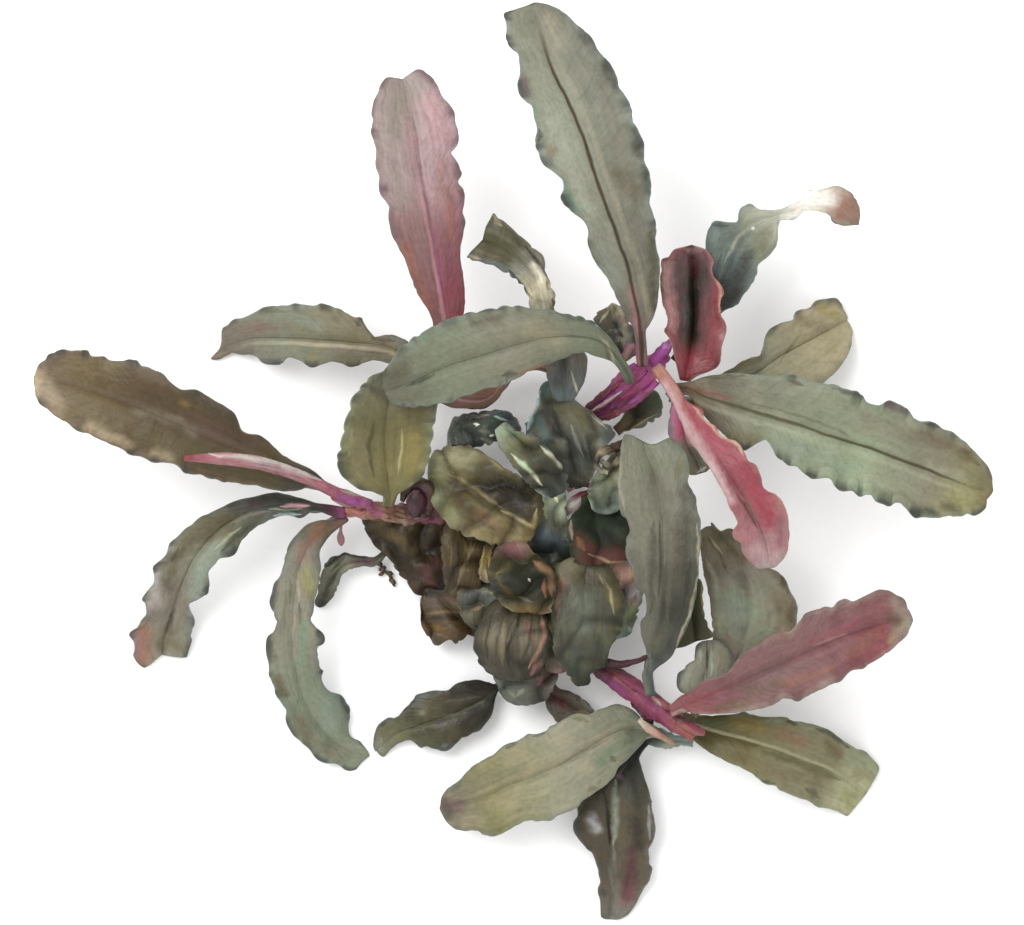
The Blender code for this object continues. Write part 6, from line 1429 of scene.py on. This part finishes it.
growStem("rhizomeLeft", {
    "slot": "rhizome", "mottle": ("wine", 0.4), "knobs": 0.9, "knobSize": 0.9, "rings": 0.12,
    "streaks": ("umber", 0.4), "bump": 0.2, "tint": (1.5, 1.55, 1.5),
    "path": "-88,-66,44,16 -130,-64,58,10 -164,-62,72,8 -190,-60,80,9.5 -212,-58,84,5",
    "strands": "-104,-69,64,3 -130,-74,66,4.2 -152,-71,70,4 -170,-66,76,3; "
        "-110,-57,60,4 -140,-59,68,6 -170,-56,78,6 -196,-52,90,5; "
        "-186,-60,84,5 -200,-65,82,5 -214,-64,76,4 -218,-69,70,2",
    "tones": "0 plum 0.3 rosewood 0.55 clay 0.8 clay 1 coral",
    "marks": "magenta 0.9 1 -190,-50 -170,-64; coral 0.6 0.8 -210,-62 -184,-64; "
        "brown 0.7 0.6 -164,-62 -110,-66; taupe 0.8 0.4 -160,-72 -120,-76; umber 0.6 0.3 -164,-56 -120,-60",
})

growStem("rhizomeUpper", {
    "slot": "rhizome", "mottle": ("crimson", 0.4), "knobs": 0.7, "knobSize": 1.1, "rings": 0.12,
    "streaks": ("wine", 0.45), "bump": 0.15, "tint": (1.5, 1.5, 1.4),
    "path": "17,-80,34,19 60,0,44,20 99,57,68,10 130,82,88,13.5 156,103,106,17.5 176,122,118,13 189,136,124,8",
    "strands": "92,66,84,2.5 114,85,98,3.5 136,107,112,4.5 154,122,120,3; "
        "106,53,80,2.5 130,62,96,4 158,80,110,4.5 180,100,120,3; "
        "94,60,92,1.5 120,76,106,2.2 146,96,124,2.5 166,114,132,2; "
        "174,122,126,5 184,134,132,7 194,146,132,5.5 198,154,128,2; "
        "136,126,114,3.5 144,136,118,6 147,148,118,4",
    "tones": "0 plum 0.45 plum 0.6 purple 0.8 magenta 1 orchid",
    # The thin snow stroke along the strand is a painted highlight.
    "marks": "orchid 0.9 1 178,126 194,148; lilac 0.8 0.7 186,142 198,150; magenta 0.7 1.2 164,114 146,96; "
        "wine 0.7 0.7 134,94 110,70; rust 0.6 0.5 134,108 124,90; snow 0.8 0.25 96,62 120,78 136,88; "
        "peach 0.8 0.6 164,130 160,146; taupe 0.9 0.8 142,130 147,146; coral 0.8 0.8 180,108 192,100; "
        "orchid 0.6 0.5 104,68 140,98",
})

growStem("rhizomeLower", {
    "slot": "rhizome", "mottle": ("wine", 0.4), "knobs": 0.5, "knobSize": 1.3, "rings": 0.12,
    "streaks": ("wine", 0.5), "bump": 0.15, "tint": (0.85, 0.75, 0.72),
    "path": "96,-244,42,12 116,-262,62,13 156,-290,80,14 196,-320,92,13 226,-344,98,6",
    "strands": "114,-254,70,3 140,-272,88,4 166,-288,100,5 196,-308,106,3; "
        "204,-322,104,5 224,-334,106,7 240,-340,102,3; "
        "182,-309,80,8 190,-316,66,8 204,-323,52,7 214,-327,49,3; "
        "154,-298,74,8 162,-308,64,8 170,-318,50,7 170,-322,46,5",
    "tones": "0 plum 0.28 plum 0.45 magenta 0.75 magenta 1 coral",
    "marks": "wine 0.7 0.6 126,-260 146,-284; orchid 0.5 0.7 110,-266 146,-298; "
        "magenta 0.7 0.9 154,-290 190,-316; cream 0.8 0.35 170,-286 186,-306; rust 0.6 0.5 188,-314 210,-330; "
        "coral 0.8 0.9 210,-330 234,-346",
})

growStem("leafLeftRolled", {
    "slot": "pink_leaf", "mottle": ("paleRose", 0.4), "knobs": 0.2, "rings": 0, "scars": 0, "knobSize": 1.6,
    "streaks": ("mulberry", 0.5),
    "path": "-178,-53,98,6 -196,-48,108,8 -220,-39,125,7.2 -260,-20,150,7.2 -310,-3,174,8.5 -360,4,188,8 "
        "-410,5,196,3",
    "strands": "-180,-54,104,5 -200,-44,112,6 -224,-34,124,4 -250,-24,138,2; "
        "-186,-46,98,3 -206,-52,102,5 -226,-44,114,3; "
        "-206,-52,94,3 -213,-70,66,1.2 -216,-86,50,2 -216,-94,44,4.5 -215,-101,40,4 -215,-105,38,1",
    "tones": "0 magenta 0.16 magenta 0.3 rose 0.6 dustyPink 0.9 rose 1 crimson",
    # The snow stroke along the upper side and the cream stroke near the base are painted highlights.
    "marks": "snow 0.7 0.5 -380,10 -300,2 -240,-24; darkWine 0.7 0.5 -402,5; "
        "orchid 0.7 0.7 -220,-44 -184,-52; wine 0.6 0.4 -380,-4 -310,-10 -250,-32; "
        "cream 0.8 0.25 -216,-34 -190,-44; paleRose 0.95 1.2 -216,-74 -215,-104",
})

growStem("budLeft", {
    "slot": "rhizome", "mottle": ("darkWine", 0.5), "knobs": 0.3, "tint": (0.65, 0.6, 0.7), "rings": 0,
    "scars": 0,
    "path": "-122,-62,90,9 -121,-51,104,12.5 -120,-42,112,11 -119,-35,116,4",
    "strands": "-138,-48,86,3 -134,-35,96,6 -121,-27,104,8 -108,-32,108,8 -104,-48,102,8 -106,-64,86,4",
    "tones": "0 darkBrown 0.5 plum 1 darkBrown",
    "marks": "mulberry 0.7 0.5 -128,-39 -118,-36; ink 0.6 0.6 -120,-50; "
        "brown 0.95 0.8 -137,-42 -132,-31 -120,-22 -106,-26 -100,-46 -102,-64",
})

growStem("petioleLower", {
    "slot": "rhizome", "mottle": ("darkBrown", 0.5), "knobs": 0.25, "tint": (0.8, 0.75, 0.85), "rings": 0.05,
    "streaks": ("umber", 0.5),
    "path": "116,-250,86,5 136,-253,92,4.5 156,-249,102,3.5 170,-242,110,2.5",
    "tones": "0 plum 1 darkWine",
})

growStem("petioleMiddle", {
    "slot": "red_leaf", "mottle": ("rose", 0.3), "knobs": 0.25, "rings": 0, "scars": 0,
    "path": "97,-38,84,4 84,-46,90,8 72,-56,90,8 64,-66,86,3",
    "strands": "99,-30,86,3 84,-27,90,4 68,-36,92,3",
    "tones": "0 darkWine 0.4 wine 0.6 snow 1 paleRose",
    "marks": "white 0.9 0.6 70,-56 90,-42; wine 0.9 0.5 70,-35 98,-27; rose 0.6 0.25 68,-52 84,-40",
})

growStem("sheathLower", {
    "slot": "root", "mottle": ("rust", 0.4), "knobs": 0.3, "knobSize": 0.7, "rings": 0, "scars": 0,
    "path": "158,-322,104,3 172,-335,100,5 202,-353,86,3",
    "tones": "0 cream 0.5 peach 1 straw",
})

growStem("witheredCurl", {
    "slot": "root", "mottle": ("darkBrown", 0.7), "knobs": 0.4, "knobSize": 0.6, "rings": 0, "scars": 0,
    "path": "139,26,156,3 128,20,158,4.5 114,14,160,5 105,4,158,4 106,-8,154,3.5 118,-14,154,2.5",
    "strands": "128,18,150,2.5 134,6,152,4 122,-4,152,3.5 110,2,150,3; 98,8,146,2 110,14,150,3 124,10,150,2",
    "tones": "0 darkBrown 0.3 umber 0.5 sand 0.65 darkBrown 1 cream",
})

growStem("rootLeft", {
    "slot": "root", "mottle": ("darkBrown", 0.6), "knobs": 0.35, "knobSize": 0.4, "rings": 0, "scars": 0,
    "path": "-173,-123,13,1.2 -166,-129,9,1.6 -163,-136,7,1.4 -158,-139,7,1.6 -152,-146,6,1.4 -148,-156,4,1",
    "strands": "-172,-125,11,1.2 -168,-127,11,3.2 -164,-129,10,1; "
        "-168,-135,8,1 -164,-134,9,3.4 -160,-131,9,1.2; -168,-142,6,1.2 -165,-140,6,2.6 -162,-138,6,1; "
        "-159,-140,8,1.2 -155,-139,8,3.6 -151,-141,7,1.2; -155,-147,6,1 -151,-149,6,3.4 -148,-153,6,1.2",
    "tones": "0 umber 0.5 ochre 1 darkBrown",
})

print("The stems are grown")

# The table, the light and the camera.

studio = {
    "table": 3.0, "tableTone": (0.93, 0.93, 0.93), "sky": 1.3,
    "lamp": 8.0, "lampSize": 0.6, "lampAt": (-0.45, 0.35, 0.95),
    "cameraAt": (-0.000125, -0.0000625, 4.5), "lens": 36 * 4.486 / 0.128,
}


def addTable(studio):
    half = studio["table"] / 2
    mesh = bpy.data.meshes.new("table")
    corners = [(-half, -half, 0), (half, -half, 0), (half, half, 0), (-half, half, 0)]
    mesh.from_pydata(corners, [], [(0, 1, 2, 3)])
    table = bpy.data.objects.new("table", mesh)
    collection.objects.link(table)
    material = bpy.data.materials.new("tableFinish")
    material.use_nodes = True
    desk = Desk(material.node_tree)
    place = desk.node("ShaderNodeTexCoord", out="Object")
    speckle = desk.noise(place, 900.0, 3.0)
    dim, bright = (*(level * 0.985 for level in studio["tableTone"]), 1), (*studio["tableTone"], 1)
    color = desk.ramp([(0.3, dim), (0.7, bright)], speckle)
    shader = material.node_tree.nodes["Principled BSDF"]
    shader.inputs["Roughness"].default_value = 0.9
    shader.inputs["Specular IOR Level"].default_value = 0.1
    material.node_tree.links.new(color.socket, shader.inputs["Base Color"])
    mesh.materials.append(material)


def addLight(studio):
    scene = bpy.context.scene
    scene.view_settings.view_transform = "Standard"
    world = bpy.data.worlds.new("sky")
    scene.world = world
    world.use_nodes = True
    background = world.node_tree.nodes["Background"]
    background.inputs["Color"].default_value = (1, 1, 1, 1)
    background.inputs["Strength"].default_value = studio["sky"]
    light = bpy.data.lights.new("lamp", "AREA")
    light.energy = studio["lamp"]
    light.size = studio["lampSize"]
    lamp = bpy.data.objects.new("lamp", light)
    lamp.location = studio["lampAt"]
    lamp.rotation_euler = (-Vector(studio["lampAt"])).to_track_quat("-Z", "Y").to_euler()
    collection.objects.link(lamp)


def addCamera(studio):
    data = bpy.data.cameras.new("camera")
    data.lens = studio["lens"]
    data.sensor_width = 36
    data.clip_end = 100
    camera = bpy.data.objects.new("camera", data)
    camera.location = studio["cameraAt"]
    collection.objects.link(camera)
    bpy.context.scene.camera = camera


addTable(studio)
addLight(studio)
addCamera(studio)
print("Table, light and camera are set")
